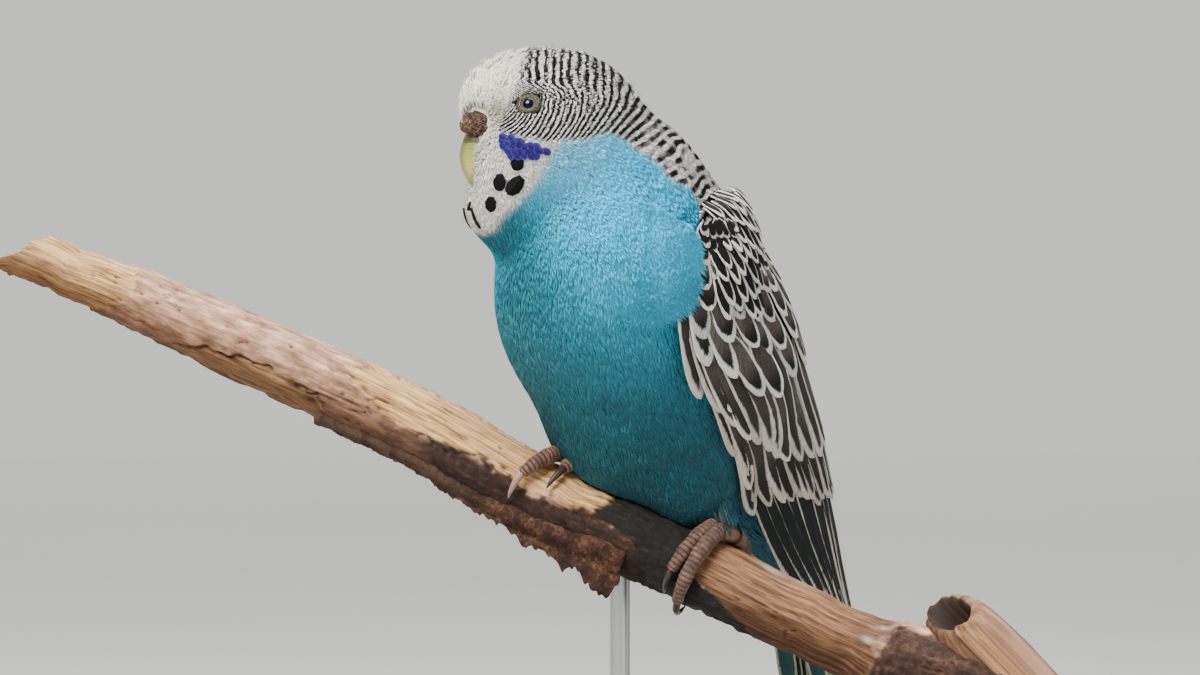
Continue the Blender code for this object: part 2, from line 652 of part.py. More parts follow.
def make_wing(name, side):
    """Folded wing: a core laid against the trunk with tiers of vanes over it."""
    along = np.array(CORE_ALONG)[:, None]
    low, high = (np.interp(along, *zip(*edge)) for edge in (CORE_LOW, CORE_HIGH))
    across = low + (high - low) * np.linspace(0.0, 1.0, CORE_COLUMNS)[None]
    along = along + 0 * across
    _, height = wing_point(side, along, across)
    sink = np.interp(along, *zip(*CORE_SINK)) * (height - WING_UNDER - CORE_LEAST)
    depth = np.minimum(height - WING_UNDER, sink + np.interp(along, *zip(*WING_THICKNESS)))
    faces = [wing_point(side, along, across, -level)[0] for level in (sink, depth)]
    pieces = [sheet(name, *faces)]
    reach_along, half, free = (np.array(column)[:, None] for column in zip(*VANE_STATIONS))
    offsets = np.array([-1.0, 0.0, 1.0])[None]
    for tier, (number, tips, tip_places, root_places, length, rise, wide) in WING_TIERS.items():
        for i in range(number):
            share = i / (number - 1)
            tip, tip_place, root_place = (a + (b - a) * share for a, b in (tips, tip_places, root_places))
            along = np.clip(tip - length * (1 - reach_along), 0, 1) + 0 * offsets
            place = root_place + (tip_place - root_place) * reach_along
            across = np.clip(place + half * offsets * wide, -0.02, 1.0)
            top = rise + 0.15 * share - VANE_TILT * offsets + 0 * along
            floor = np.minimum(-VANE_SINK, top - VANE_THICKNESS)
            floor = floor + (top - VANE_THICKNESS - floor) * free
            pieces.append(sheet(f"{name}_{tier}_{i}", wing_point(side, along, across, top)[0],
                                wing_point(side, along, across, floor)[0]))
    dress(join(name, pieces), FINISH["wing"])


def make_tail():
    """Twelve feathers fanned and tiered from a root block in the trunk's end."""
    block_axes = (LEFT, *(tail_point(*step) - tail_point(0, 0, 0) for step in ((0, 0, 1), (1, 0, 0))))
    centre = tail_point(TAIL_BLOCK_AT, 0, 0)
    pieces = [ball("tail", centre, TAIL_BLOCK, block_axes)]
    feathers = [(tip, wide, level, 0.0) for tip, wide, level in TAIL_MIDDLE]
    feathers += [(tip, wide, level, side * off) for tip, wide, level, off in TAIL_PAIRS for side in (1, -1)]
    stations = ((0.0, 0.4), (0.3, 0.95), (0.65, 1.0), (0.9, 0.62), (1.0, 0.12))
    for i, (tip, wide, level, off) in enumerate(feathers):
        along = np.array([TAIL_START + (tip - TAIL_START) * s for s, _ in stations])[:, None]
        half = np.array([wide * w for _, w in stations])[:, None]
        fan = TAIL_FAN[0] + (1 - TAIL_FAN[0]) * np.minimum((along - TAIL_START) / TAIL_FAN[1], 1)
        aside = off * fan + half * np.array([-1.0, 0.0, 1.0])[None]
        above = TAIL_TOP - level * TAIL_LEVEL + 0 * aside
        top = tail_point(along, aside, above)
        bottom = tail_point(along, aside, above - 0.5)
        pieces.append(sheet(f"rectrix_{i}", top, bottom))
    dress(join("tail", pieces), FINISH["tail"])
    return ball("tail_room", centre, np.array(TAIL_BLOCK) + GAP, block_axes)


def toe_path(at, path, points, lift):
    """Path over the bark from the pad to the tip, at the toe's own height."""
    ends = np.array(path, float)
    steps = follow(ends, np.linspace(0, 1, points))
    return perch_point(at + steps[:, 0], steps[:, 1], lift)


def lengthened(path, extra):
    """Path with both ends moved on by an extra length."""
    path = np.array(path, float)
    for end, near in ((0, 1), (-1, -2)):
        onward = path[end] - path[near]
        path[end] += onward / np.linalg.norm(onward) * extra
    return path


def claw_tube(name, at, end, tip, hug, clear):
    """Curved claw from a toe's end to its tip, hugging the bark or arching over it."""
    radii = np.array(CLAW_RADII)
    share = np.linspace(0.0, 1.0, len(radii))
    steps = np.array(end) + (np.array(tip) - np.array(end)) * share[:, None]
    height = radii + GAP + 0.25 + 1.2 * (1 - hug) * np.sin(share * math.pi)
    centres = perch_point(at + steps[:, 0], steps[:, 1], height)
    onward = centres[1] - centres[0]
    centres[0] += onward / np.linalg.norm(onward) * CLAW_GAP
    return tube(name, lengthened(centres, clear), radii + clear)


def foot_pieces(side_name, clear):
    """Pad, toes and claws of a foot, plain or swollen by a clearance."""
    foot = FEET[side_name]
    at = foot["at"]
    place, radius, along, up, side = perch_axis(at)
    centre = place + up * (radius + PAD_HALF[2] + GAP) + along * 0.4
    flesh = [ball("foot_" + side_name, centre, np.array(PAD_HALF) + clear, (along, side, up), 10)]
    claws = []
    for toe, (start, end, tip, hug) in foot["toes"].items():
        radii = np.array(TOE_RADII)
        middle = ((start[0] + end[0]) / 2, (start[1] + end[1]) / 2)
        path = toe_path(at, (start, middle, end), len(radii), radii + GAP)
        flesh.append(tube(f"toe_{side_name}_{toe}", lengthened(path, clear), radii + clear))
        claws.append(claw_tube(f"claw_{side_name}_{toe}", at, end, tip, hug, clear))
    leg_foot = centre + up * 0.9
    inward = -LEFT if side_name == "left" else LEFT
    leg_top = leg_foot + UP * LEG_RISE - FORWARD * LEG_BACK + inward * LEG_INWARD
    middle = (leg_foot + leg_top) / 2 - FORWARD * 0.6
    line = lengthened([leg_foot, middle, leg_top], clear)
    leg = tube("leg_" + side_name, line, np.array(LEG_RADII) + clear)
    return flesh, claws, leg


def make_foot(side_name):
    """Foot, claws and leg in their nodes. Returns the rooms that the belly leaves them."""
    flesh, claws, leg = foot_pieces(side_name, 0)
    room_flesh, room_claws, room_leg = foot_pieces(side_name, GAP)
    foot = join("foot_" + side_name, flesh)
    leg_room = room_leg.copy()
    PARTS.objects.link(leg_room)
    dress(cut(foot, [leg_room]), FINISH["foot"])
    for claw in claws:
        dress(claw, FINISH["claw"])
    dress(leg, FINISH["foot"])
    return [*room_flesh, *room_claws, room_leg]


def make_perch():
    turns = np.arange(PERCH_SIDES) * 360 / PERCH_SIDES
    share = np.linspace(0, 1, PERCH_RINGS)[:, None]
    left, right = PERCH_ENDS
    slant = left + 3.5 * np.cos(np.radians(turns)) - 6.5 * np.exp(-((turns - 110) / 16) ** 2)
    across = slant + (right - slant) * share
    rings = perch_point(across, turns[None] + 0 * across)
    inset = np.repeat(perch_point(left + 6, 0, -5.5)[None], len(turns), 0)
    end = np.repeat(rings[-1].mean(0)[None], len(turns), 0)
    made = loft("perch_branch", np.array([inset, *rings, end]))
    stub = loft("stub", stub_rings())
    made = join("perch_branch", [made, stub])
    rod_room = tube("rod_room", [(0, 0, -14), (0, 0, -1.0)], (ROD_RADIUS + GAP,) * 2, 4)
    dress(cut(made, [rod_room]), FINISH["bark"])


def stub_rings(sides=12):
    """Broken hollow side branch, from inside the limb to its rim and down the hole."""
    root, rim = np.array(STUB_LINE)
    along = rim - root
    length = np.linalg.norm(along)
    along /= length
    over = UP - along * along[2]
    over /= np.linalg.norm(over)
    side = np.cross(along, over)
    turn = np.arange(sides) / sides * 2 * math.pi
    circle = np.cos(turn)[:, None] * over + np.sin(turn)[:, None] * side
    slant = (circle @ UP)[:, None] * along
    return np.array([root + along * share * length + circle * radius - slant * lean
                     for share, radius, lean in STUB_SECTIONS])


def make_loose_bark():
    """Sheet of bark that has sprung from the front of the perch and hangs under it."""
    across = np.linspace(*BARK_STRETCH, BARK_COLUMNS)[:, None]
    ragged = 0.5 + 0.5 * np.sin(2.1 * across) * np.sin(0.9 * across + 1)
    upper = np.interp(across, (-58, -24, -8, 0, 4), (126, 122, 104, 94, 100)) + 3 * ragged
    lower = upper + np.interp(across, (-58, -20, 4), (16, 24, 40))
    drop = np.interp(across, (-58, -36, -10, 0, 4), (1.0, 3.2, 3.6, 6.5, 3.0)) + 1.8 * ragged
    grids = []
    for lift in (GAP + BARK_THICKNESS, GAP):
        steps = [perch_point(across, upper + (lower - upper) * s, lift + 0.5 * s) for s in (0, 0.5, 1)]
        out = perch_axis(across)[4] * 0.25
        hang = steps[-1] - UP * drop[..., None] + out * drop[..., None]
        grids.append(np.stack([s[:, 0] for s in (*steps, hang)], 1))
    dress(sheet("perch_loose_bark", *grids), FINISH["bark"])


def make_stand():
    """Turned base and the rod that holds the perch."""
    edge = BASE_EDGE
    rod_top = -1.3
    hole = ROD_RADIUS + GAP
    profile = [(0, BASE_HEIGHT - ROD_SINK), (hole, BASE_HEIGHT - ROD_SINK), (hole, BASE_HEIGHT)]
    profile += [(BASE_RADIUS - edge + edge * math.sin(a), BASE_HEIGHT - edge + edge * math.cos(a))
                for a in np.radians((0, 30, 60, 90))]
    profile += [(BASE_RADIUS, 0), (0, 0)]
    mesh = bpy.data.meshes.new("stand_base")
    mesh.from_pydata([(x * MM, 0, z * MM) for x, z in reversed(profile)],
                     [(i, i + 1) for i in range(len(profile) - 1)], [])
    base = bpy.data.objects.new("stand_base", mesh)
    PARTS.objects.link(base)
    turned = base.modifiers.new("Turn", "SCREW")
    turned.steps = turned.render_steps = 28
    turned.use_merge_vertices, turned.merge_threshold = True, 1e-5
    turned.use_normal_calculate = True
    apply_modifiers(base)
    dress(edit(base, turn_out), FINISH["base"])
    foot = BASE_HEIGHT - ROD_SINK + GAP - PERCH_HEIGHT
    dress(tube("stand_rod", [(0, 0, foot), (0, 0, rod_top)], (ROD_RADIUS,) * 2, 6), FINISH["rod"])


def make_trunk(rooms):
    """Neck and torso, the torso cut clear of the legs, the tail's root and the perch."""
    dress(body_length("neck", HEAD_CUT, NECK_CUT), FINISH["blue"])
    made = body_length("torso", NECK_CUT, None)
    across = np.linspace(-45, 45, 13)
    turns = np.arange(PERCH_SIDES) * 360 / PERCH_SIDES
    rings = perch_point(across[:, None], turns[None], GAP + 0.1)
    ends = [np.repeat(ring.mean(0)[None], len(turns), 0) for ring in (rings[0], rings[-1])]
    perch_room = loft("perch_room", np.array([ends[0], *rings, ends[1]]))
    dress(cut(made, [perch_room, *rooms]), FINISH["blue"])


for old in list(bpy.data.objects):
    bpy.data.objects.remove(old)
PARTS = new_collection("budgerigar")
FINISH = {
    "white": material("white_plumage", (0.82, 0.80, 0.74), 0.8),
    "blue": material("blue_plumage", (0.16, 0.50, 0.68), 0.8),
    "wing": material("barred_plumage", (0.10, 0.09, 0.085), 0.7),
    "tail": material("tail_plumage", (0.02, 0.07, 0.10), 0.6),
    "eye": material("dark_eye", (0.012, 0.010, 0.012), 0.08),
    "cere": material("brown_cere", (0.24, 0.12, 0.08), 0.7),
    "bill": material("olive_bill", (0.42, 0.40, 0.12), 0.4),
    "foot": material("scaly_foot", (0.45, 0.30, 0.23), 0.6),
    "claw": material("dark_claw", (0.05, 0.045, 0.04), 0.4),
    "bark": material("weathered_branch", (0.36, 0.23, 0.13), 0.85),
    "base": material("dark_base", (0.05, 0.045, 0.04), 0.45),
    "rod": material("steel_rod", (0.55, 0.55, 0.56), 0.3),
}
make_head()
make_bill()
make_wing("wing_left", 1)
make_wing("wing_right", -1)
make_trunk([make_tail(), *make_foot("left"), *make_foot("right")])
make_perch()
make_loose_bark()
make_stand()
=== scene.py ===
"""Looks of a still, life-size budgerigar on a cut length of branch, on a plain display stand.

Working places are millimetres about the perch, which is the branch's axis under the bird, as
in the part's own source: X to the viewer's right, Y away from the viewer and Z up. They
become metres in add_piece. Angles round the branch run in degrees from its top.
"""
import itertools
import math

import bmesh
import bpy
import numpy as np
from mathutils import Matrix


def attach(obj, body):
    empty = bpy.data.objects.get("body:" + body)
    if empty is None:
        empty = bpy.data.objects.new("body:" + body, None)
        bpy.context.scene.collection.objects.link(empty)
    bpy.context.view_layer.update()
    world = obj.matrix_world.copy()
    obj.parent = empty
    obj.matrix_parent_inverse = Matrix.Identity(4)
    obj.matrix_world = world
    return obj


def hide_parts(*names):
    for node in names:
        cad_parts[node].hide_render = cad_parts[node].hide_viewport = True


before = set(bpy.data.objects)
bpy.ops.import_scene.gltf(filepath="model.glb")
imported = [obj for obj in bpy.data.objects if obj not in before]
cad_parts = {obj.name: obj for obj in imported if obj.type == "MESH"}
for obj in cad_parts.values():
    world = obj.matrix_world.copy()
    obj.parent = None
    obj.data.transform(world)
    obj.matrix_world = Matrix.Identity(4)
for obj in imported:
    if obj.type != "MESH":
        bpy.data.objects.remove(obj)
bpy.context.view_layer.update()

MM = 0.001
PERCH_HEIGHT = 112.0
UP = np.array([0.0, 0.0, 1.0])

# The camera of the photo.
CAMERA_DISTANCE, CAMERA_RISE = 1.0, math.radians(1.5)
CAMERA_AIM = (-0.004, 0.0, 0.1509)
CAMERA_LENS, CAMERA_SENSOR = 150.0, 36.0

# Outline of the bird, the same lumps as in the part's source.
BODY_YAW, HEAD_YAW = math.radians(50), math.radians(82)
HEAD_CENTRE = np.array([-12.6, -4.0, 81.0])
BODY_LUMPS = {
    "nape": ((-1.5, 0, 68.0), (15.0, 15.5, 15.5), 25),
    "mantle": ((-9.5, 0, 55.5), (16.5, 18.5, 18.5), 30),
    "chest": ((0.5, 0, 46.0), (25.0, 23.5, 27.0), 25),
    "belly": ((-11.5, 0, 27.0), (25.2, 23.2, 24.5), 36),
    "vent": ((-33.0, 0, 11.0), (11.5, 12.5, 21.0), 46),
    "tail_root": ((-45.0, 0, -1.5), (6.0, 8.5, 15.0), 28),
    "left_thigh": ((-8.5, 12.8, 8.8), (8.0, 7.0, 8.8), 20),
}
HEAD_LUMPS = {
    "skull": ((-1.5, 0, 0.2), (15.2, 13.4, 14.6), 0),
    "brow": ((9.2, 0, 4.6), (9.8, 7.8, 8.8), 0),
    "cheeks": ((3.5, 0, -7.0), (11.0, 13.0, 9.5), 0),
    "mask_left": ((9.8, 5.2, -13.0), (8.2, 7.0, 10.0), -8),
    "mask_right": ((9.8, -5.2, -13.0), (8.2, 7.0, 10.0), -8),
}
MELT = 2.6
SPINE = ((-14, -4, 81), (4, 0, 52), (-16, 0, 22), (-46, 0, -5))
SPINE_LEAN = (math.radians(4), math.radians(46))


def direction(yaw):
    """Level unit vectors forward and left for a heading turned left from the viewer."""
    forward = np.array([-math.sin(yaw), -math.cos(yaw), 0.0])
    return forward, np.array([-forward[1], forward[0], 0.0])


FORWARD, LEFT = direction(BODY_YAW)
HEAD_FORWARD, HEAD_LEFT = direction(HEAD_YAW)


def body(points):
    """Body measures (forward, left, up) as places about the perch."""
    points = np.asarray(points, float)
    return points[..., :1] * FORWARD + points[..., 1:2] * LEFT + points[..., 2:] * UP


def head(points):
    """Head measures (forward, left, up of the head's centre) as places about the perch."""
    points = np.asarray(points, float)
    turned = points[..., :1] * HEAD_FORWARD + points[..., 1:2] * HEAD_LEFT + points[..., 2:] * UP
    return HEAD_CENTRE + turned


def in_head(points):
    """Places about the perch as head measures."""
    away = np.asarray(points) - HEAD_CENTRE
    return np.stack([away @ HEAD_FORWARD, away @ HEAD_LEFT, away @ UP], -1)


def smooth(x, low, high):
    """Soft step from 0 at low to 1 at high."""
    x = np.clip((np.asarray(x, float) - low) / (high - low), 0, 1)
    return x * x * (3 - 2 * x)


def unit(vectors):
    return vectors / np.maximum(np.linalg.norm(vectors, axis=-1, keepdims=True), 1e-9)


class Lump:
    """One ellipsoid with its own heading and forward lean."""

    def __init__(self, centre, half, heading, lean):
        forward, left = heading
        lean = math.radians(lean)
        up = UP * math.cos(lean) + forward * math.sin(lean)
        ahead = forward * math.cos(lean) - UP * math.sin(lean)
        self.centre, self.half = centre, np.array(half, float)
        self.axes = np.stack([ahead, left, up])

    def distance(self, points):
        q = (points - self.centre) @ self.axes.T
        near = np.linalg.norm(q / self.half, axis=-1)
        steep = np.linalg.norm(q / self.half ** 2, axis=-1)
        return near * (near - 1) / np.maximum(steep, 1e-9)


LUMPS = [Lump(body(c), r, (FORWARD, LEFT), lean) for c, r, lean in BODY_LUMPS.values()]
LUMPS += [Lump(head(c), r, (HEAD_FORWARD, HEAD_LEFT), lean) for c, r, lean in HEAD_LUMPS.values()]
SPINE_POINTS = np.vstack([[SPINE[0]], body(SPINE[1:])])


def outline(points):
    """Distance outside the melted lumps, negative inside. They sink in beside the bill's tip."""
    melted = -MELT * np.log(sum(np.exp(-lump.distance(points) / MELT) for lump in LUMPS))
    beside_bill = ((in_head(points) - (16.9, 0, -11.5)) / (3.7, 7.0, 5.0)) ** 2
    return melted + 2.3 * np.exp(-beside_bill.sum(-1))


def outward(points, step=0.3):
    """Unit vectors straight out of the melted lumps."""
    slope = [outline(points + step * axis) - outline(points - step * axis) for axis in np.eye(3)]
    return unit(np.stack(slope, -1))


def settle(points, height):
    """Move places straight in or out to a height over the outline, with the way out there."""
    for _ in range(2):
        out = outward(points)
        points = points + out * (height - outline(points))[..., None]
    return points, out


def spine(t):
    """Place on the spine and the frame there: towards the tail, the belly and the left."""
    a, b, c, d = SPINE_POINTS
    place = (1 - t) ** 3 * a + 3 * (1 - t) ** 2 * t * b + 3 * (1 - t) * t * t * c + t ** 3 * d
    lean = SPINE_LEAN[0] + (SPINE_LEAN[1] - SPINE_LEAN[0]) * t ** 0.9
    tailward = -UP * math.cos(lean) - FORWARD * math.sin(lean)
    bellyward = unit(FORWARD - tailward * (FORWARD @ tailward))
    return place, tailward, bellyward, np.cross(-tailward, bellyward)


def reach(places, rays, offset, farthest=45.0):
    """Run out along rays to where the outline has the given offset."""
    low, high = np.zeros(places.shape[:-1]), np.full(places.shape[:-1], farthest)
    for _ in range(20):
        middle = (low + high) / 2
        inside = outline(places + rays * middle[..., None]) < offset
        low, high = np.where(inside, middle, low), np.where(inside, high, middle)
    return places + rays * ((low + high) / 2)[..., None]


def body_stations(rings, caps):
    """Stations down the bird: place along the spine and polar angle of the fans at both ends."""
    stations = [(0.0, polar) for polar in np.linspace(0, math.pi / 2, caps[0] + 1)[:-1]]
    stations += [(t, math.pi / 2) for t in np.linspace(0, 1, rings)]
    return stations + [(1.0, polar) for polar in np.linspace(math.pi / 2, math.pi, caps[1] + 1)[1:]]


def body_surface(offset, columns, rings, caps):
    """Rings of points over the whole bird from the crown to the tail root, and the way tailward."""
    around = np.arange(columns) / columns * 2 * math.pi
    places, rays, ways = [], [], []
    for t, polar in body_stations(rings, caps):
        place, tailward, bellyward, left = spine(t)
        side = np.cos(around)[:, None] * bellyward + np.sin(around)[:, None] * left
        places.append(np.repeat(place[None], columns, 0))
        rays.append(-tailward * math.cos(polar) + side * math.sin(polar))
        ways.append(np.repeat(tailward[None], columns, 0))
    return reach(np.array(places), np.array(rays), offset), np.array(ways)


# The perch, as in the part's source.
PERCH_AXIS = np.array([
    (-124.0, 56.0, 5.6), (-113.0, 51.0, 5.8), (-84.0, 39.5, 6.8), (-61.5, 30.0, 7.3),
    (-39.0, 19.9, 7.5), (-12.0, 5.6, 7.5), (0.0, 0.0, 7.5), (18.0, -8.3, 7.2),
    (37.5, -17.2, 6.9), (47.0, -21.6, 6.9), (53.0, -24.5, 8.4), (60.0, -26.6, 8.8),
    (72.0, -30.5, 9.4), (92.0, -43.0, 9.4)])
PERCH_YAW = math.radians(18)
PERCH_FORWARD = 2.2
PERCH_ENDS = (-123.0, 91.0)


def follow(points, x):
    """Smooth curve through rows of points, x from 0 at the first row to 1 at the last."""
    points = np.asarray(points, float)
    x = np.clip(np.asarray(x, float), 0, 1) * (len(points) - 1)
    first = np.minimum(x.astype(int), len(points) - 2)
    f = (x - first)[..., None]
    padded = np.vstack([2 * points[0] - points[1], points, 2 * points[-1] - points[-2]])
    a, b, c, d = padded[first], padded[first + 1], padded[first + 2], padded[first + 3]
    return 0.5 * (2 * b + (c - a) * f + (2 * a - 5 * b + 4 * c - d) * f ** 2
                  + (3 * b - a - 3 * c + d) * f ** 3)


def perch_axis(across):
    """Axis place, plain radius and the frame along, up and towards the viewer."""
    across = np.asarray(across, float)

    def read(x):
        row = np.interp(x, PERCH_AXIS[:, 0], np.arange(len(PERCH_AXIS)))
        wave = follow(PERCH_AXIS[:, 1:], row / (len(PERCH_AXIS) - 1))
        level = -x * math.tan(PERCH_YAW) - PERCH_FORWARD
        return np.stack([x, level, wave[..., 0]], -1), wave[..., 1]

    place, radius = read(across)
    along = unit(read(across + 1.5)[0] - read(across - 1.5)[0])
    up = unit(UP - along * along[..., 2:])
    return place, radius, along, up, np.cross(along, up)


def perch_point(across, turn, height=0.0):
    """Place on the bark. The turn runs in degrees from the top over the viewer's side."""
    across, turn = np.broadcast_arrays(np.asarray(across, float), np.radians(turn))
    place, radius, _, up, side = perch_axis(across)
    ridges = 0.22 * np.sin(5 * turn + 0.035 * across) + 0.16 * np.sin(3 * turn + 0.11 * across)
    radius = radius + ridges * np.clip(np.abs(across) / 30 - 0.5, 0, 1) + height
    return place + radius[..., None] * (np.cos(turn)[..., None] * up + np.sin(turn)[..., None] * side)


def clear_of_perch(points, gap):
    """Push places that dip into the branch straight out of it."""
    axis, radius, along, _, _ = perch_axis(points[..., 0])
    away = points - axis
    slide = (away * along).sum(-1)
    axis, radius, along, _, _ = perch_axis(points[..., 0] - slide * along[..., 0])
    away = points - axis
    away = away - along * (away * along).sum(-1, keepdims=True)
    far = np.linalg.norm(away, axis=-1)
    push = np.maximum(radius + gap - far, 0)
    return points + away / np.maximum(far, 0.5)[..., None] * push[..., None]


# The wing's outer face, on the guide curves of the part's source.
WING_LEADING = ((6, 21.4, 59.5), (6.8, 23.2, 44), (-1.4, 22.9, 27.5), (-12.9, 19.5, 12),
                (-25.7, 14.8, -2.5), (-39, 10.5, -14), (-56, 5.5, -25.5))
WING_CREST = ((-9, 22.0, 63.5), (-20, 19.1, 54), (-28.7, 17.6, 42.5), (-34.8, 16.6, 29),
              (-41.3, 14.7, 15), (-48.5, 10.8, -1), (-59.0, 6, -24))
WING_BACK = ((-23.4, 2.5, 66.5), (-29.3, 1.2, 57.3), (-33.9, 0.9, 46.5), (-38.2, 0.9, 34),
             (-43.9, 0.9, 20), (-51.6, 1.2, 3), (-61.0, 3.4, -23))
WING_CLEAR = 1.7


def wing_point(side, along, across, lift=0.0):
    """Place on the wing, from the shoulder to the tip and from the leading edge to the back."""
    along, across = np.broadcast_arrays(np.asarray(along, float), np.asarray(across, float))

    def face(a, c):
        lead, crest, back = (follow(g, a) for g in (WING_LEADING, WING_CREST, WING_BACK))
        c = c[..., None]
        pull = 2 * crest - (lead + back) / 2
        return (1 - c) ** 2 * lead + 2 * (1 - c) * c * pull + c * c * back

    step = 0.004
    ahead = face(np.minimum(along + step, 1), across) - face(np.maximum(along - step, 0), across)
    over = face(along, across + step) - face(along, across - step)
    out = unit(np.cross(ahead, over))
    place = face(along, across)
    height = outline(body(place * (1, side, 1)))
    soft = 0.4
    push = soft * np.log1p(np.exp((WING_CLEAR - height) / soft))
    place = place + out * (push + lift)[..., None]
    return body(place * (1, side, 1)), body(out * (1, side, 1))


# The tail, in the measures of the part's source.
TAIL_ROOT, TAIL_HANG = (-45.0, 0, -1.0), math.radians(14)


def tail_point(along, aside, above):
    """Place in the tail's own measures: from the root to the tip, to the left, and above."""
    along, aside, above = np.broadcast_arrays(*(np.asarray(x, float) for x in (along, aside, above)))
    c, s = math.cos(TAIL_HANG), math.sin(TAIL_HANG)
    return body(np.stack([-along * s - above * c, aside, -along * c + above * s], -1) + TAIL_ROOT)


# Markings. Places in the photo's plane are millimetres right of and above the perch.
BAR_FLOOR = ((-26, -23.4, -19.4, -14.8, -9.4, -7.2, -2.8, 0.4, 3.8, 7.2, 10.4, 13.8, 15.4, 16.5, 24),
             (80.6, 79.8, 78.8, 77.8, 78.2, 78.2, 79.6, 78.8, 75.8, 73.8, 70.2, 68.6, 66.4, 50, 42))
BAR_FRONT = ((70, 80, 81, 84, 88, 92, 97), (-23.4, -23.6, -24, -22.5, -21, -19.8, -18.2))
MASK_EDGE = ((57, 60.2, 62.6, 65.2, 68.6, 71.8, 75.2, 77.8, 79), (-28, -24.4, -23.4, -20.4, -17, -15, -13.2, -11.5, -9))
BAR_CENTRE = (-26.0, 87.4)
# The darker blues beside the wing and down the belly, flank and vent are partly the teal's own colour and partly
# painted shade; the throat side and breast edge are painted shade at the breast's left edge.
BLUES = {
    "cheek line": ((-9, 75), 6, (0.31, 0.74, 1.0)),
    "shoulder": ((6, 70), 7, (0.030, 0.60, 1.0)),
    "upper breast": ((-4, 64), 9, (0.010, 0.66, 1.0)),
    "breast": ((2, 54), 10, (0.035, 0.57, 0.95)),
    "throat side shade": ((-22, 58), 7, (0.022, 0.15, 0.19)),
    "breast edge shade": ((-22, 46), 8, (0.018, 0.15, 0.18)),
    "belly": ((-10, 38), 10, (0.028, 0.25, 0.32)),
    "belly patch": ((-19, 33), 5, (0.03, 0.17, 0.21)),
    "wing side": ((10, 44), 9, (0.035, 0.29, 0.42)),
    "lower belly": ((2, 22), 12, (0.009, 0.098, 0.128)),
    "belly rim": ((-12, 18), 8, (0.012, 0.115, 0.140)),
    "flank": ((18, 14), 10, (0.005, 0.052, 0.070)),
    "vent": ((28, -6), 12, (0.008, 0.062, 0.085)),
    "rump": ((44, 20), 14, (0.05, 0.34, 0.52)),
}
CREAM, MASK_WHITE, BAR_WHITE = (0.92, 0.87, 0.75), (0.88, 0.85, 0.78), (0.82, 0.80, 0.77)


def noise(points, size, seed=0):
    """Smooth noise from 0 to 1 over places, with the given grain."""
    cell = np.asarray(points, float) / size
    base = np.floor(cell)
    f = cell - base
    f = f * f * (3 - 2 * f)
    total = 0.0
    for corner in itertools.product((0, 1), repeat=cell.shape[-1]):
        key = (base + corner) @ np.array((127.1, 311.7, 74.7)[:cell.shape[-1]])
        value = np.sin(key + seed * 17.31) * 43758.5453
        weight = np.prod(np.where(np.array(corner) == 1, f, 1 - f), -1)
        total = total + weight * (value - np.floor(value))
    return total


def mirrored(points):
    """The same place on the bird's left side, which the photo shows."""
    share = smooth(points[..., 2], 52, 62)[..., None]
    by_body = points - 2 * np.minimum(points @ LEFT, 0)[..., None] * LEFT
    by_head = points - 2 * np.minimum((points - HEAD_CENTRE) @ HEAD_LEFT, 0)[..., None] * HEAD_LEFT
    return by_body + (by_head - by_body) * share


def blue_dye_and_shade(x, z):
    """Blue of the plumage, melted together from the named places, with the painted shade that the darker places hold.
    """
    total, colour = 1e-9, 0.0
    for (at_x, at_z), spread, dye in BLUES.values():
        weight = np.exp(-((x - at_x) ** 2 + (z - at_z) ** 2) / (2 * spread ** 2)) + 1e-7
        total = total + weight
        colour = colour + weight[..., None] * np.array(dye)
    return colour / np.asarray(total)[..., None]


def bar_wave(x, z):
    """How many bars lie between the bill and a place."""
    across, rise = x - BAR_CENTRE[0], z - BAR_CENTRE[1]
    far = np.sqrt(across ** 2 + np.where(rise > 0, 0.35, 1.0) ** 2 * rise ** 2)
    face = np.log(0.235 + 0.055 * np.maximum(far, 2)) / 0.055
    crown = (across - 24) / np.where(across > 24, 1.85, 1.62) + 8.1
    front = face + (crown - face) * smooth(rise, -1.2, 2.4)
    run = 0.62 * x - 0.78 * z
    back = (run + 58.7) / 2.05 + 14.5
    return front + (back - front) * smooth(run, -71, -58)


def mottle(points):
    """Drift of the blue from light to dark over the plumage, about 0."""
    return noise(points, 5.0, 41) + 0.6 * noise(points, 2.2, 42) - 0.8


def markings(points, stray=0.0):
    """Dye with its painted shade, bar wave and bar strength of the plumage at places, strayed by millimetres."""
    shown = mirrored(points)
    x, z = shown[..., 0] + stray, shown[..., 2] + stray * 0.7
    nape = smooth(0.62 * x - 0.78 * z, -66, -50)
    floor = np.interp(x, *BAR_FLOOR)
    barred = smooth(z - floor, -0.5, 0.5) * smooth(x - np.interp(z, *BAR_FRONT), -0.7, 0.7)
    mask = np.interp(z, *MASK_EDGE)
    mask = np.where(z < 57, -60, mask)
    white = np.maximum(smooth(z - floor, -0.9, 0.6), smooth(mask - x, -1.3, 1.6))
    crown = smooth(z, 80, 90)[..., None]
    pale = np.array(MASK_WHITE) + (np.array(CREAM) - np.array(MASK_WHITE)) * crown
    pale = pale + (np.array(BAR_WHITE) - pale) * barred[..., None]
    lores = np.exp(-((x + 24.2) / 2.4) ** 2 - ((z - 84.2) / 2.6) ** 2)
    lores = lores * (0.45 + 0.75 * noise(points, 0.45, 45))
    pale = pale * (1 - lores[..., None] * (0.62, 0.66, 0.74))
    dye = blue_dye_and_shade(x, z) * (1 + 0.26 * mottle(points))[..., None]
    dye = dye + (pale - dye) * white[..., None]
    wave = bar_wave(x, z) + (noise(points, 3.4, 43) - 0.5) * (0.22 + 0.6 * nape)
    gaps = smooth(noise(points, 2.0, 44), 0.52, 0.68) * nape
    return dye, wave, barred * (1 - 0.75 * gaps)


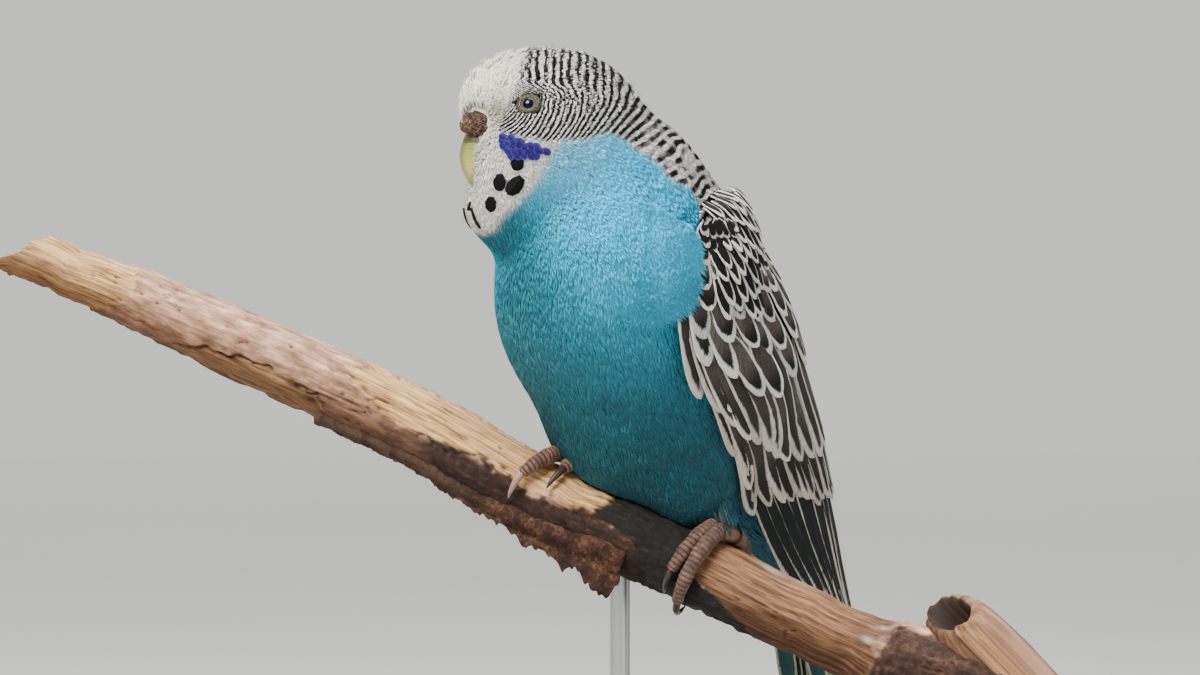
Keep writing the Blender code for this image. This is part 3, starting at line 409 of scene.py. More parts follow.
# Shader building.
class Socket:
    """An output socket of a shader tree that takes part in sums."""

    def __init__(self, tree, link):
        self.tree, self.link = tree, link

    def _math(self, operation, *values):
        return self.tree.node("ShaderNodeMath", {"operation": operation}, dict(enumerate(values)))

    def __add__(self, other):
        return self._math("ADD", self, other)

    __radd__ = __add__

    def __sub__(self, other):
        return self._math("SUBTRACT", self, other)

    def __rsub__(self, other):
        return self._math("SUBTRACT", other, self)

    def __mul__(self, other):
        return self._math("MULTIPLY", self, other)

    __rmul__ = __mul__

    def __truediv__(self, other):
        return self._math("DIVIDE", self, other)

    def __pow__(self, other):
        return self._math("POWER", self, other)

    def wave(self):
        return self._math("SINE", self)

    def size(self):
        return self._math("ABSOLUTE", self)

    def least(self, other):
        return self._math("MINIMUM", self, other)

    def most(self, other):
        return self._math("MAXIMUM", self, other)

    def part(self, index):
        """One number of a vector."""
        return self.tree.node("ShaderNodeSeparateXYZ", {}, {0: self}, index)

    def step(self, low, high):
        """Soft step from 0 at low to 1 at high."""
        settings = {"interpolation_type": "SMOOTHSTEP"}
        return self.tree.node("ShaderNodeMapRange", settings, {0: self, 1: low, 2: high, 3: 0.0, 4: 1.0})


class Finish:
    """A material with its Principled shader and the few ways its nodes are made."""

    def __init__(self, name, **constants):
        self.material = bpy.data.materials.new(name)
        self.material.use_nodes = True
        self.nodes = self.material.node_tree.nodes
        self.links = self.material.node_tree.links
        self.shader = self.nodes["Principled BSDF"]
        for socket, value in constants.items():
            self.shader.inputs[socket.replace("_", " ")].default_value = value

    def node(self, kind, settings=None, values=None, output=0):
        made = self.nodes.new(kind)
        for name, value in (settings or {}).items():
            if name == "stops":
                ramp = made.color_ramp.elements
                while len(ramp) < len(value):
                    ramp.new(0.5)
                for stop, (at, colour) in zip(ramp, value):
                    stop.position, stop.color = at, (*colour, 1)
            else:
                setattr(made, name, value)
        for socket, value in (values or {}).items():
            self.set(made.inputs[socket], value)
        return Socket(self, made.outputs[output])

    def set(self, socket, value):
        if isinstance(value, Socket):
            self.links.new(value.link, socket)
        elif isinstance(value, tuple) and socket.type == "RGBA":
            socket.default_value = (*value[:3], 1)
        else:
            socket.default_value = value

    def finish(self, **results):
        for name, value in results.items():
            self.set(self.shader.inputs[name.replace("_", " ")], value)
        return self.material

    def place(self, stretch=(1, 1, 1)):
        """Object place, with each axis drawn out by its own measure."""
        place = self.node("ShaderNodeTexCoord", output=3)
        return self.node("ShaderNodeMapping", {}, {"Vector": place, "Scale": stretch})

    def lie(self, stretch=(1, 1, 1)):
        """The piece's own map, with each axis drawn out by its own measure."""
        place = self.node("ShaderNodeUVMap", {"uv_map": "Lie"})
        return self.node("ShaderNodeMapping", {}, {"Vector": place, "Scale": stretch})

    def attribute(self, name, number=True):
        return self.node("ShaderNodeAttribute", {"attribute_name": name}, output=2 if number else 0)

    def grain(self, place, scale, detail=3.0, rough=0.55):
        values = {"Vector": place, "Scale": scale, "Detail": detail, "Roughness": rough}
        return self.node("ShaderNodeTexNoise", {}, values)

    def cells(self, place, scale, feature="F1", spread=1.0):
        settings = {"feature": feature}
        return self.node("ShaderNodeTexVoronoi", settings, {"Vector": place, "Scale": scale, "Randomness": spread})

    def mix(self, share, first, second, blend="MIX"):
        settings = {"data_type": "RGBA", "blend_type": blend, "clamp_factor": True}
        return self.node("ShaderNodeMix", settings, {0: share, 6: first, 7: second}, output=2)

    def ramp(self, value, *stops):
        return self.node("ShaderNodeValToRGB", {"stops": stops}, {0: value})

    def bump(self, height, depth, strength=1.0, base=None):
        values = {"Height": height, "Distance": depth, "Strength": strength}
        if base is not None:
            values["Normal"] = base
        return self.node("ShaderNodeBump", {}, values)


def plumage_finish():
    """Soft body feathers: the colour carried by the mesh as its dye mark, which on the coat, shoulder, thigh tufts and
    skin also holds painted shade, with crisp bars from its bar wave.
    """
    made = Finish("plumage", Sheen_Weight=0.04, Sheen_Roughness=0.5, Specular_IOR_Level=0.08)
    dye = made.attribute("dye", number=False)
    fine = made.grain(made.place(), 900.0, 2.0)
    wave = made.attribute("wave") + (fine - 0.5) * 0.12
    bar = ((wave * (2 * math.pi)).wave() * 3.4 + 1.05).most(0.0).least(1.0) * made.attribute("ink")
    strands = made.grain(made.lie((9.0, 0.8, 1.0)), 1.0, 2.0)
    tone = made.ramp(strands, (0.25, (0.92, 0.92, 0.92)), (0.75, (1.05, 1.05, 1.05)))
    lit = made.mix(1.0, dye, tone, "MULTIPLY")
    colour = made.mix(bar, lit, (0.007, 0.0065, 0.007))
    return made.finish(Base_Color=colour, Roughness=0.66 + fine * 0.2,
                       Normal=made.bump(strands, 0.00004, 0.25))


def vane_finish(name, gloss, streaks):
    """Firm feathers: a dark vane with a frayed pale margin, and barbs that slant from the shaft."""
    made = Finish(name, Specular_IOR_Level=gloss)
    dye = made.attribute("dye", number=False)
    rim = made.attribute("rim", number=False)
    edge, margin = made.attribute("edge"), made.attribute("margin")
    fray = made.grain(made.lie((3.2, 0.30, 1.0)), 1.0, 3.0) - 0.5
    drift = made.grain(made.lie((0.35, 0.35, 1.0)), 1.0, 2.0) - 0.5
    pale = 1 - (edge / margin + fray * 0.8 + drift * 0.7).step(0.72, 1.22)
    barbs = (made.attribute("barb") * 26.0).wave()
    worn = made.ramp(fray + 0.5, (0.3, (0.55, 0.55, 0.55)), (0.7, (1.0 + streaks, 1.0 + streaks, 1.0 + streaks)))
    dark = made.mix(1.0, dye, worn, "MULTIPLY")
    light = made.mix((fray + 0.5).step(0.35, 0.75) * 0.35, rim, dye)
    colour = made.mix(pale, dark, light)
    colour = made.mix((barbs * 0.5 + 0.5) * 0.18, colour, (0.0, 0.0, 0.0))
    return made.finish(Base_Color=colour, Roughness=0.6 + fray * 0.3, Normal=made.bump(barbs, 0.00003, 0.5))


PLUMAGE = plumage_finish()
VANE, PETAL = vane_finish("wing_vane", 0.14, 0.8), vane_finish("cheek_petal", 0.08, 0.5)


def eye_finish():
    """Wet eye: a dark pupil, a pale iris with fine spokes and a dark rim, by the polar mark."""
    made = Finish("eye", Roughness=0.06, Specular_IOR_Level=0.3)
    polar = made.attribute("polar")
    spokes = made.grain(made.lie((6.0, 0.6, 1.0)), 6.0, 3.0)
    iris = made.mix(spokes, (0.055, 0.052, 0.060), (0.17, 0.165, 0.18))
    colour = made.mix(polar.step(0.44, 0.52), (0.004, 0.004, 0.009), iris)
    colour = made.mix(polar.step(0.60, 0.69), colour, (0.012, 0.010, 0.008))
    return made.finish(Base_Color=colour)


def lid_finish():
    made = Finish("lid_skin", Specular_IOR_Level=0.3)
    place = made.place()
    folds = made.cells(place, 2600.0)
    grey = made.grain(place, 700.0, 3.0)
    ring = made.attribute("ring") + (grey - 0.5) * 0.12
    colour = made.mix(folds.step(0.05, 0.55), (0.24, 0.25, 0.13), (0.045, 0.040, 0.020))
    colour = made.mix(grey.step(0.45, 0.7) * 0.6, colour, (0.10, 0.095, 0.060))
    bright = made.mix(folds.step(0.1, 0.6), (0.34, 0.34, 0.14), (0.10, 0.095, 0.035))
    colour = made.mix(ring.step(0.48, 0.40), colour, (0.030, 0.026, 0.014))
    colour = made.mix(ring.step(0.36, 0.30), colour, bright)
    colour = made.mix(ring.step(0.15, 0.10), colour, (0.012, 0.010, 0.008))
    return made.finish(Base_Color=colour, Roughness=0.6 + grey * 0.2, Normal=made.bump(folds, 0.0001, 0.8))


def cere_finish():
    """Dry flaking crust with pale ridges over dark brown."""
    made = Finish("crusty_cere", Specular_IOR_Level=0.3)
    place = made.place()
    warp = made.grain(place, 500.0, 3.0)
    flakes = made.cells(made.place((1.0, 1.0, 1.35)), 1500.0, "DISTANCE_TO_EDGE")
    curls = (made.grain(made.place(), 420.0, 2.0) * 46.0).wave()
    ridge = (1 - (flakes + (warp - 0.5) * 0.1).step(0.0, 0.09)).most(curls.step(0.45, 0.95))
    colour = made.ramp(made.grain(place, 1300.0, 4.0), (0.3, (0.008, 0.003, 0.002)), (0.7, (0.050, 0.020, 0.012)))
    colour = made.mix(ridge * 0.7, colour, (0.30, 0.165, 0.11))
    return made.finish(Base_Color=colour, Roughness=0.55 + warp * 0.3,
                       Normal=made.bump(ridge + warp * 0.6, 0.00018, 0.9))


def bill_finish():
    """Olive horn: grey-green at the root, yellow in the middle and brown at the tip."""
    made = Finish("bill_horn", Coat_Weight=0.25, Coat_Roughness=0.25)
    share = made.attribute("share")
    streak = made.grain(made.lie((5.0, 0.6, 1.0)), 4.0, 3.0)
    colour = made.ramp(share + (streak - 0.5) * 0.16, (0.0, (0.16, 0.17, 0.05)), (0.25, (0.36, 0.36, 0.07)),
                       (0.5, (0.52, 0.47, 0.13)), (0.72, (0.26, 0.20, 0.05)), (1.0, (0.09, 0.055, 0.02)))
    growth = (share * 120.0 + streak * 3.0).wave()
    colour = made.mix(streak.step(0.5, 0.8) * 0.25, colour, (0.60, 0.55, 0.30))
    # Painted shade: darker along the ridge, the bill's outline seen from the side.
    colour = made.mix(made.attribute("ridge") * 0.75, colour, (0.10, 0.075, 0.025))
    folds = (share * 160.0 + streak * 9.0).wave() * 0.5 + 0.5
    root = made.mix(folds, (0.022, 0.014, 0.006), (0.15, 0.10, 0.05))
    colour = made.mix((share + (streak - 0.5) * 0.05).step(0.105, 0.065), colour, root)
    return made.finish(Base_Color=colour, Roughness=0.3 + streak * 0.2, Normal=made.bump(growth, 0.00003, 0.5))


def scaly_finish():
    """Dry scaly skin of the toes: rows of scutes with pale middles and dark, dusty seams."""
    made = Finish("scaly_skin", Specular_IOR_Level=0.35)
    place = made.place()
    seam = made.attribute("seam")
    dust = made.grain(place, 600.0, 4.0)
    nets = made.cells(place, 1500.0, "DISTANCE_TO_EDGE").step(0.0, 0.16)
    colour = made.ramp(dust, (0.3, (0.045, 0.021, 0.012)), (0.7, (0.25, 0.145, 0.100)))
    colour = made.mix(made.attribute("blush") * 0.8, colour, (0.22, 0.100, 0.075))
    colour = made.mix(seam * 0.9, colour, (0.020, 0.011, 0.008))
    colour = made.mix((1 - nets) * 0.35, colour, (0.05, 0.028, 0.020))
    return made.finish(Base_Color=colour, Roughness=0.55 + dust * 0.25, Normal=made.bump(nets - seam, 0.00010, 0.8))


def claw_finish():
    made = Finish("claw_horn", Coat_Weight=0.08, Coat_Roughness=0.3, Specular_IOR_Level=0.3)
    streak = made.grain(made.lie((4.0, 0.7, 1.0)), 3.0, 3.0)
    pale = made.attribute("pale")
    dark = made.mix(streak, (0.010, 0.007, 0.006), (0.055, 0.036, 0.027))
    light = made.mix(streak, (0.22, 0.11, 0.09), (0.42, 0.27, 0.23))
    return made.finish(Base_Color=made.mix(pale, dark, light), Roughness=0.28 + streak * 0.2,
                       Normal=made.bump(streak, 0.00004, 0.5))


def branch_finish():
    """Weathered branch: the mesh says where bark, bare wood and burnt bark are."""
    made = Finish("weathered_branch", Specular_IOR_Level=0.3)
    grain = made.grain(made.lie((0.10, 1.2, 1.0)), 1.0, 6.0, 0.62)
    fine = made.grain(made.lie((0.35, 6.0, 1.0)), 1.0, 4.0)
    blotch = made.grain(made.lie((0.18, 0.45, 1.0)), 1.0, 6.0, 0.62)
    speck = made.grain(made.place(), 900.0, 5.0, 0.7)
    bark = made.ramp(blotch * 0.65 + grain * 0.35, (0.34, (0.13, 0.058, 0.03)), (0.5, (0.42, 0.235, 0.145)),
                     (0.64, (0.78, 0.49, 0.33)))
    rust = made.ramp(blotch * 0.4 + speck * 0.35 + grain * 0.25, (0.36, (0.010, 0.004, 0.002)),
                     (0.5, (0.040, 0.017, 0.009)), (0.66, (0.14, 0.065, 0.036)))
    wood = made.ramp(grain * 0.7 + fine * 0.3, (0.38, (0.15, 0.062, 0.020)), (0.49, (0.50, 0.28, 0.115)),
                     (0.62, (0.80, 0.52, 0.26)))
    brown = made.ramp(grain * 0.75 + fine * 0.25, (0.36, (0.045, 0.017, 0.006)), (0.5, (0.19, 0.088, 0.038)),
                      (0.64, (0.39, 0.22, 0.125)))
    burnt = made.ramp(grain * 0.35 + fine * 0.4 + speck * 0.25, (0.46, (0.003, 0.0025, 0.002)),
                      (0.58, (0.014, 0.011, 0.009)), (0.68, (0.14, 0.115, 0.09)))
    colour = made.mix(made.attribute("wood"), bark, wood)
    colour = made.mix(made.attribute("rust"), colour, rust)
    colour = made.mix(made.attribute("brown"), colour, brown)
    # Painted shade together with soil: darker towards the underside.
    colour = made.mix(made.attribute("soil") * 0.9, colour, (0.20, 0.125, 0.08), "MULTIPLY")
    colour = made.mix(made.attribute("burnt"), colour, burnt)
    colour = made.mix(made.attribute("pale") * 0.7 * (blotch.step(0.35, 0.6)), colour, (0.48, 0.41, 0.35))
    colour = made.mix(made.attribute("shade"), colour, (0.010, 0.005, 0.003))
    colour = made.mix(speck.step(0.60, 0.74) * 0.3, colour, (0.05, 0.028, 0.016))
    height = grain * 0.5 + fine * 0.3 + speck * 0.35
    return made.finish(Base_Color=colour, Roughness=0.7 + grain * 0.2, Normal=made.bump(height, 0.0005, 0.7))


def flake_finish():
    """Loose bark and splinters: reddish brown, ragged and dusty."""
    made = Finish("loose_bark", Specular_IOR_Level=0.25)
    place = made.place((1.0, 1.0, 1.0))
    patch = made.grain(place, 260.0, 5.0, 0.65)
    speck = made.grain(place, 1400.0, 4.0, 0.7)
    rust = made.ramp(patch * 0.6 + speck * 0.4, (0.36, (0.008, 0.0035, 0.002)), (0.5, (0.036, 0.015, 0.0075)),
                     (0.66, (0.15, 0.068, 0.036)))
    brown = made.ramp(patch * 0.6 + speck * 0.4, (0.36, (0.018, 0.008, 0.004)), (0.64, (0.085, 0.045, 0.028)))
    colour = made.mix((made.place().part(0) + (patch - 0.5) * 0.02).step(-0.040, -0.022), brown, rust)
    return made.finish(Base_Color=colour, Roughness=0.75 + speck * 0.2,
                       Normal=made.bump(patch + speck * 0.6, 0.0004, 0.8))


def lacquer_finish():
    made = Finish("dark_lacquer", Coat_Weight=0.35, Coat_Roughness=0.22)
    grain = made.grain(made.place((18.0, 300.0, 300.0)), 1.0, 5.0, 0.6)
    colour = made.ramp(grain, (0.35, (0.018, 0.012, 0.009)), (0.7, (0.075, 0.046, 0.030)))
    return made.finish(Base_Color=colour, Roughness=0.34 + grain * 0.16, Normal=made.bump(grain, 0.00006, 0.4))


def steel_finish():
    made = Finish("brushed_steel", Metallic=1.0)
    brushed = made.grain(made.place((900.0, 900.0, 25.0)), 1.0, 4.0)
    colour = made.mix(brushed, (0.42, 0.42, 0.43), (0.66, 0.66, 0.67))
    return made.finish(Base_Color=colour, Roughness=0.24 + brushed * 0.2, Normal=made.bump(brushed, 0.00002, 0.4))


# Mesh building.
def add_piece(name, points, groups, finish, lie=None, marks=None, bake=None, flat=False):
    """A piece from points in millimetres and groups of faces with the same number of corners.
    Marks are numbers or colours at the points, lie and bake are maps at the points."""
    points = (np.asarray(points, float).reshape(-1, 3) + UP * PERCH_HEIGHT) * MM
    groups = [np.asarray(group, np.int32) for group in groups if len(group)]
    corners = np.concatenate([group.ravel() for group in groups])
    sizes = np.concatenate([np.full(len(group), group.shape[1], np.int32) for group in groups])
    mesh = bpy.data.meshes.new(name)
    mesh.vertices.add(len(points))
    mesh.vertices.foreach_set("co", points.ravel())
    mesh.loops.add(len(corners))
    mesh.loops.foreach_set("vertex_index", corners)
    mesh.polygons.add(len(sizes))
    mesh.polygons.foreach_set("loop_start", np.concatenate([[0], np.cumsum(sizes)[:-1]]).astype(np.int32))
    mesh.update(calc_edges=True)
    for map_name, places in (("Lie", lie), ("OFBake", bake)):
        if places is not None:
            layer = mesh.uv_layers.new(name=map_name)
            layer.uv.foreach_set("vector", np.asarray(places, np.float32).reshape(-1, 2)[corners].ravel())
    for mark, values in (marks or {}).items():
        values = np.asarray(values, np.float32)
        if values.ndim > 1 and values.shape[-1] == 3:
            values = values.reshape(-1, 3)
            values = np.hstack([values, np.ones((len(values), 1), np.float32)])
            mesh.attributes.new(mark, "FLOAT_COLOR", "POINT").data.foreach_set("color", values.ravel())
        else:
            mesh.attributes.new(mark, "FLOAT", "POINT").data.foreach_set("value", values.ravel())
    mesh.materials.append(finish)
    if not flat:
        mesh.shade_smooth()
    made = bpy.data.objects.new(name, mesh)
    bpy.context.scene.collection.objects.link(made)
    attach(made, "root")
    return made


def grid_faces(rows, columns, closed, first=0, flip=False):
    """Four-cornered faces over rows of points, closed round the rows or open."""
    i, j = np.meshgrid(np.arange(rows - 1), np.arange(columns - (0 if closed else 1)), indexing="ij")
    a, b = i * columns + j, i * columns + (j + 1) % columns
    faces = np.stack([a, b, b + columns, a + columns], -1).reshape(-1, 4) + first
    return faces[:, ::-1] if flip else faces


def strands(paths, ups, halves, section, pointed, tilt=0.0):
    """Closed strands along many paths at once: points, faces and each point's place across and
    along. The section's rows are place across, in half widths, and rise; it runs round the strand,
    and tilts by a rise at its edge."""
    count, rows = paths.shape[:2]
    ahead = np.gradient(paths, axis=1)
    aside = unit(np.cross(ahead, ups))
    ring = np.asarray(section, float)
    around = len(ring)
    points = (paths[:, :, None] + aside[:, :, None] * (ring[:, 0] * halves[..., None])[..., None]
              + ups[:, :, None] * ((ring[:, 1] + tilt * ring[:, 0]) * np.ones_like(halves)[..., None])[..., None])
    across = ring[:, 0] * halves[..., None]
    along = np.repeat(np.arange(rows)[None, :, None] / (rows - 1), count, 0) + 0 * across
    if pointed:
        body_rows, per = rows - 1, (rows - 1) * around + 1
        tips = paths[:, -1:]
        points = np.concatenate([points[:, :-1].reshape(count, -1, 3), tips], 1)
        across = np.concatenate([across[:, :-1].reshape(count, -1), np.zeros((count, 1))], 1)
        along = np.concatenate([along[:, :-1].reshape(count, -1), np.ones((count, 1))], 1)
        last = (body_rows - 1) * around
        side = np.arange(around)
        ends = np.stack([last + side, last + (side + 1) % around, np.full(around, per - 1)], -1)
    else:
        body_rows, per = rows, rows * around
        points, across, along = points.reshape(count, -1, 3), across.reshape(count, -1), along.reshape(count, -1)
        ends = np.arange(per - around, per)[None]
    quads = grid_faces(body_rows, around, True)
    root = np.arange(around)[None, ::-1]
    offsets = (np.arange(count) * per)[:, None, None]
    groups = [(faces[None] + offsets).reshape(-1, faces.shape[1]) for faces in (quads, ends, root)]
    return points, groups, across, along


def join_groups(parts):
    """Points and face groups of several meshes as one."""
    points, groups, start = [], [], 0
    for places, faces in parts:
        places = np.asarray(places).reshape(-1, 3)
        points.append(places)
        groups += [np.asarray(group) + start for group in faces]
        start += len(places)
    return np.vstack(points), groups


def tube_mesh(rings):
    """Closed tube over rings of points, with a pole at each end."""
    rings = np.asarray(rings, float)
    rows, around = rings.shape[:2]
    points = np.vstack([rings.reshape(-1, 3), rings[0].mean(0), rings[-1].mean(0)])
    side = np.arange(around)
    start = np.stack([(side + 1) % around, side, np.full(around, rows * around)], -1)
    last = (rows - 1) * around
    end = np.stack([last + side, last + (side + 1) % around, np.full(around, rows * around + 1)], -1)
    return points, [grid_faces(rows, around, True), start, end]


# The coat of soft feathers.
EYE_AT = (7.2, 4.3)
EYE_RADIUS, EYE_PROUD, LID_SPREAD = 2.4, 0.45, 0.91
COAT_DEPTH = 1.2
rng = np.random.default_rng(7)


def eye_frame(side):
    """Middle of the lids on the head's side, and unit vectors forward, up and out there."""
    middle = head((EYE_AT[0], 0, EYE_AT[1]))
    rim = reach(middle[None], (HEAD_LEFT * side)[None], 0.0)[0]
    out = outward(rim[None])[0]
    level = unit(HEAD_FORWARD - out * (HEAD_FORWARD @ out))
    return rim, level, np.cross(out, level) * side, out


EYES = {side: eye_frame(side) for side in (1, -1)}


def eye_clearance(points):
    """Distance from the nearer eye's middle over the lids' half width, 1 at their edge."""
    nearest = np.full(points.shape[:-1], 99.0)
    for rim, level, rise, out in EYES.values():
        away = points - rim
        ring = np.sqrt((away @ level / 2.75) ** 2 + (away @ rise / 2.35) ** 2) / LID_SPREAD
        nearest = np.where(np.abs(away @ out) < 4, np.minimum(nearest, ring), nearest)
    return nearest


BILL_KEEP = (((14.6, 2.9, 0.65), 3.95), ((14.6, -2.9, 0.65), 3.95), ((16.5, 0.6, -3.4), 3.5), ((17.2, 0.8, -6.2), 3.1),
             ((16.9, 1.0, -8.8), 2.8), ((16.2, 1.4, -11.0), 2.9), ((15.4, 1.4, -13.0), 2.7))


def bill_clearance(points):
    """Distance outside the cere and the bill."""
    return np.min([np.linalg.norm(points - head(at), axis=-1) - size for at, size in BILL_KEEP], 0)


def coat_roots(number):
    """Places over the bird with the way tailward and their unwrap, picked more densely where the spacing is closer."""
    columns, rings, caps = 140, 130, (16, 10)
    places, ways = body_surface(0.0, columns, rings, caps)
    rows = len(places)
    nexts = np.roll(places, -1, 1)
    area = np.linalg.norm(np.cross(nexts[:-1] - places[:-1], places[1:] - places[:-1]), axis=-1)
    want = area / spacing(places[:-1]) ** 2
    chosen = rng.choice(want.size, number, p=want.ravel() / want.sum())
    i, j = np.divmod(chosen, columns)
    fi, fj = rng.random((2, number))
    k = (j + 1) % columns

    def blend(grid):
        low = grid[i, j] * (1 - fj)[:, None] + grid[i, k] * fj[:, None]
        high = grid[i + 1, j] * (1 - fj)[:, None] + grid[i + 1, k] * fj[:, None]
        return low * (1 - fi)[:, None] + high * fi[:, None]

    unwrap = np.stack([(j + fj) / columns, (i + fi) / (rows - 1)], -1) * 0.99
    return blend(places), blend(ways), unwrap


def spacing(points):
    """Least distance between feather roots: close on the face, wider on the trunk."""
    face = smooth(np.linalg.norm(in_head(points) - (11, 0, -1), axis=-1), 6, 26)
    trunk = smooth(points[..., 2], 66, 46)
    away = smooth(points @ np.array([0.35, 0.94, 0]), 6, 20)
    return (0.50 + 0.28 * face + 0.26 * trunk) * (1 + 0.35 * away)


def spread_out(places, gaps):
    """Keep places that are at least their own gap apart, first come first kept."""
    size = gaps.max()
    cells, kept = {}, []
    keys = np.floor(places / size).astype(int)
    shifts = list(itertools.product((-1, 0, 1), repeat=3))
    for n, (key, place, gap) in enumerate(zip(keys.tolist(), places, gaps)):
        near = [m for s in shifts for m in cells.get((key[0] + s[0], key[1] + s[1], key[2] + s[2]), ())]
        if near and (((places[near] - place) ** 2).sum(1) < gap * gap).any():
            continue
        cells.setdefault(tuple(key), []).append(n)
        kept.append(n)
    return np.array(kept)


def under_wing(points):
    """Whether places lie close under the middle of a wing, where no feather shows."""
    along, across = np.linspace(0.10, 0.92, 50)[:, None], np.linspace(0.10, 0.94, 18)[None]
    hidden = np.zeros(len(points), bool)
    for side in (1, -1):
        faces = wing_point(side, along, across)[0].reshape(-1, 3)
        for start in range(0, len(points), 4000):
            away = np.linalg.norm(points[start:start + 4000, None] - faces[None], axis=-1).min(1)
            hidden[start:start + 4000] |= away < 3.2
    return hidden


def lie_of(points, ways, outs):
    """The way feathers lie: away from the bill on the head, tailward on the trunk."""
    away = points - head((13.0, 0, 0.5))
    share = smooth(np.linalg.norm(away, axis=-1), 14, 44)[..., None]
    lie = unit(away) * (1 - share) + unit(ways) * share
    return unit(lie - outs * (lie * outs).sum(-1, keepdims=True))


BLADE = ((-1.0, 0.0), (0.0, 0.03), (1.0, 0.0))
BLADE_STEPS, BLADE_WIDTHS = np.array((0.0, 0.38, 0.74, 1.0)), np.array((0.75, 1.0, 0.72, 0.0))


def feather_length(points):
    at = in_head(points)
    face = np.linalg.norm(at - (12, 0, -1), axis=-1)
    length = np.interp(face, (0, 6, 14, 26, 40), (1.3, 1.8, 2.8, 4.0, 5.2))
    mask = smooth(at[..., 2], -4, -12) * smooth(at[..., 0], 2, 9)
    trunk = smooth(points[..., 2], 64, 40)
    return length + 2.2 * mask + 1.8 * trunk


def coat_blades(places, lies, outs, blades=7):
    """Fans of narrow tapered blades, one fan to a feather, laid over the outline."""
    number = len(places)
    lengths = feather_length(places) * rng.uniform(0.85, 1.15, number)
    asides = np.cross(outs, lies)
    fan = np.linspace(-1, 1, blades)
    turn = fan[None] * np.radians(15) + rng.normal(0, 0.05, (number, 1)) + rng.normal(0, 0.035, (number, blades))
    long = lengths[:, None] * (1 - 0.28 * fan[None] ** 2) * rng.uniform(0.88, 1.1, (number, blades))
    ways = lies[:, None] * np.cos(turn)[..., None] + asides[:, None] * np.sin(turn)[..., None]
    start = places[:, None] + asides[:, None] * (fan[None] * lengths[:, None] * 0.10)[..., None]
    paths = start[:, :, None] + ways[:, :, None] * (long[..., None] * BLADE_STEPS)[..., None]
    rise = 0.09 + rng.uniform(0.0, 0.16, (number, 1)) + rng.uniform(-0.04, 0.05, (number, blades))
    crest = smooth(places[:, 2], 82, 91) * (0.45 + 0.55 * smooth(in_head(places)[:, 0], -1, 4))
    stray = (rng.random(number) < 0.012 + 0.09 * crest)[:, None]
    rise = rise + (0.35 + 0.85 * crest[:, None]) * stray * rng.uniform(0.5, 1.0, (number, 1))
    rise = rise * np.interp(lengths, (1.5, 3.5, 6), (0.5, 1.0, 0.45))[:, None]
    height = -COAT_DEPTH * 0.75 * (1 - BLADE_STEPS) ** 1.7 + rise[..., None] * BLADE_STEPS
    paths, ups = settle(paths.reshape(number * blades, 4, 3), height.reshape(-1, 4))
    halves = (lengths[:, None] * 0.046 + 0.07 + 0 * fan[None]).reshape(-1, 1) * BLADE_WIDTHS
    return paths, ups, halves, np.repeat(np.arange(number), blades)


def dress_coat():
    """All soft feathers, in pieces by the part of the bird that they cover."""
    places, ways, unwrap = coat_roots(90000)
    kept = spread_out(places, spacing(places))
    places, ways, unwrap = places[kept], ways[kept], unwrap[kept]
    outs = outward(places)
    free = ~under_wing(places) & (eye_clearance(places) > 1.0) & (bill_clearance(places) > 0.1)
    axis, radius, _, _, _ = perch_axis(places[..., 0])
    free &= np.linalg.norm(places - axis, axis=-1) > radius
    places, ways, unwrap, outs = places[free], ways[free], unwrap[free], outs[free]
    lies = lie_of(places, ways, outs)
    paths, ups, halves, owner = coat_blades(places, lies, outs)
    clear = (eye_clearance(paths).min(1) > 1.0) & (bill_clearance(paths).min(1) > 0.12)
    paths, ups, halves, owner = paths[clear], ups[clear], halves[clear], owner[clear]
    paths = clear_of_perch(paths, 0.35)
    stray = rng.normal(0, 0.22, len(places))[owner]
    jitter = rng.normal(0, 0.05, len(places))[owner]
    tone = rng.normal(1.0, 0.02, len(places))[owner] * rng.normal(1.0, 0.022, len(owner))
    at, left = in_head(places), places @ LEFT
    up = places[:, 2]
    barred = markings(places)[2] > 0.5
    regions = {
        "coat_face": (up > 60) & (at[:, 0] > 2) & ~barred,
        "coat_bars_left": barred & (at[:, 1] > 0),
        "coat_bars_right": barred & (at[:, 1] <= 0),
        "coat_breast_left": (up > 36) & (left > 0),
        "coat_breast_right": (up > 36) & (left <= 0),
        "coat_belly_left": left > 0,
        "coat_belly_right": left <= 0,
    }
    taken = np.zeros(len(places), bool)
    for name, region in regions.items():
        region = region & ~taken
        taken |= region
        for part in range(9):
            chosen = region[owner]
            index = np.flatnonzero(chosen)
            index = index[part * BLADES_A_PIECE:(part + 1) * BLADES_A_PIECE]
            if not len(index):
                break
            points, groups, across, along = strands(paths[index], ups[index], halves[index], BLADE, True)
            dye, wave, ink = markings(points, stray[index][:, None])
            wave = wave + jitter[index][:, None]
            # Painted shade: each blade is darker towards its root, where it lies under its neighbours; tone is each
            # feather's own random difference. Both go into the dye mark.
            shade = (0.92 + 0.10 * along) * tone[index][:, None]
            cell = np.stack([across / 1.2, along - 0.5], -1) * 0.003
            bake = unwrap[owner[index]][:, None] + cell + 0.003
            lie = np.stack([across + owner[index][:, None] * 0.37, along * 4], -1)
            slot = "white_plumage" if name in ("coat_face", "coat_bars_left", "coat_bars_right") else "blue_plumage"
            add_piece(f"{name}_{part + 1}" if part else name, points, groups, PLUMAGE, lie,
                      {"dye": dye * shade[..., None], "wave": wave, "ink": ink}, bake)
    return len(places), len(owner)


BLADES_A_PIECE = 12000


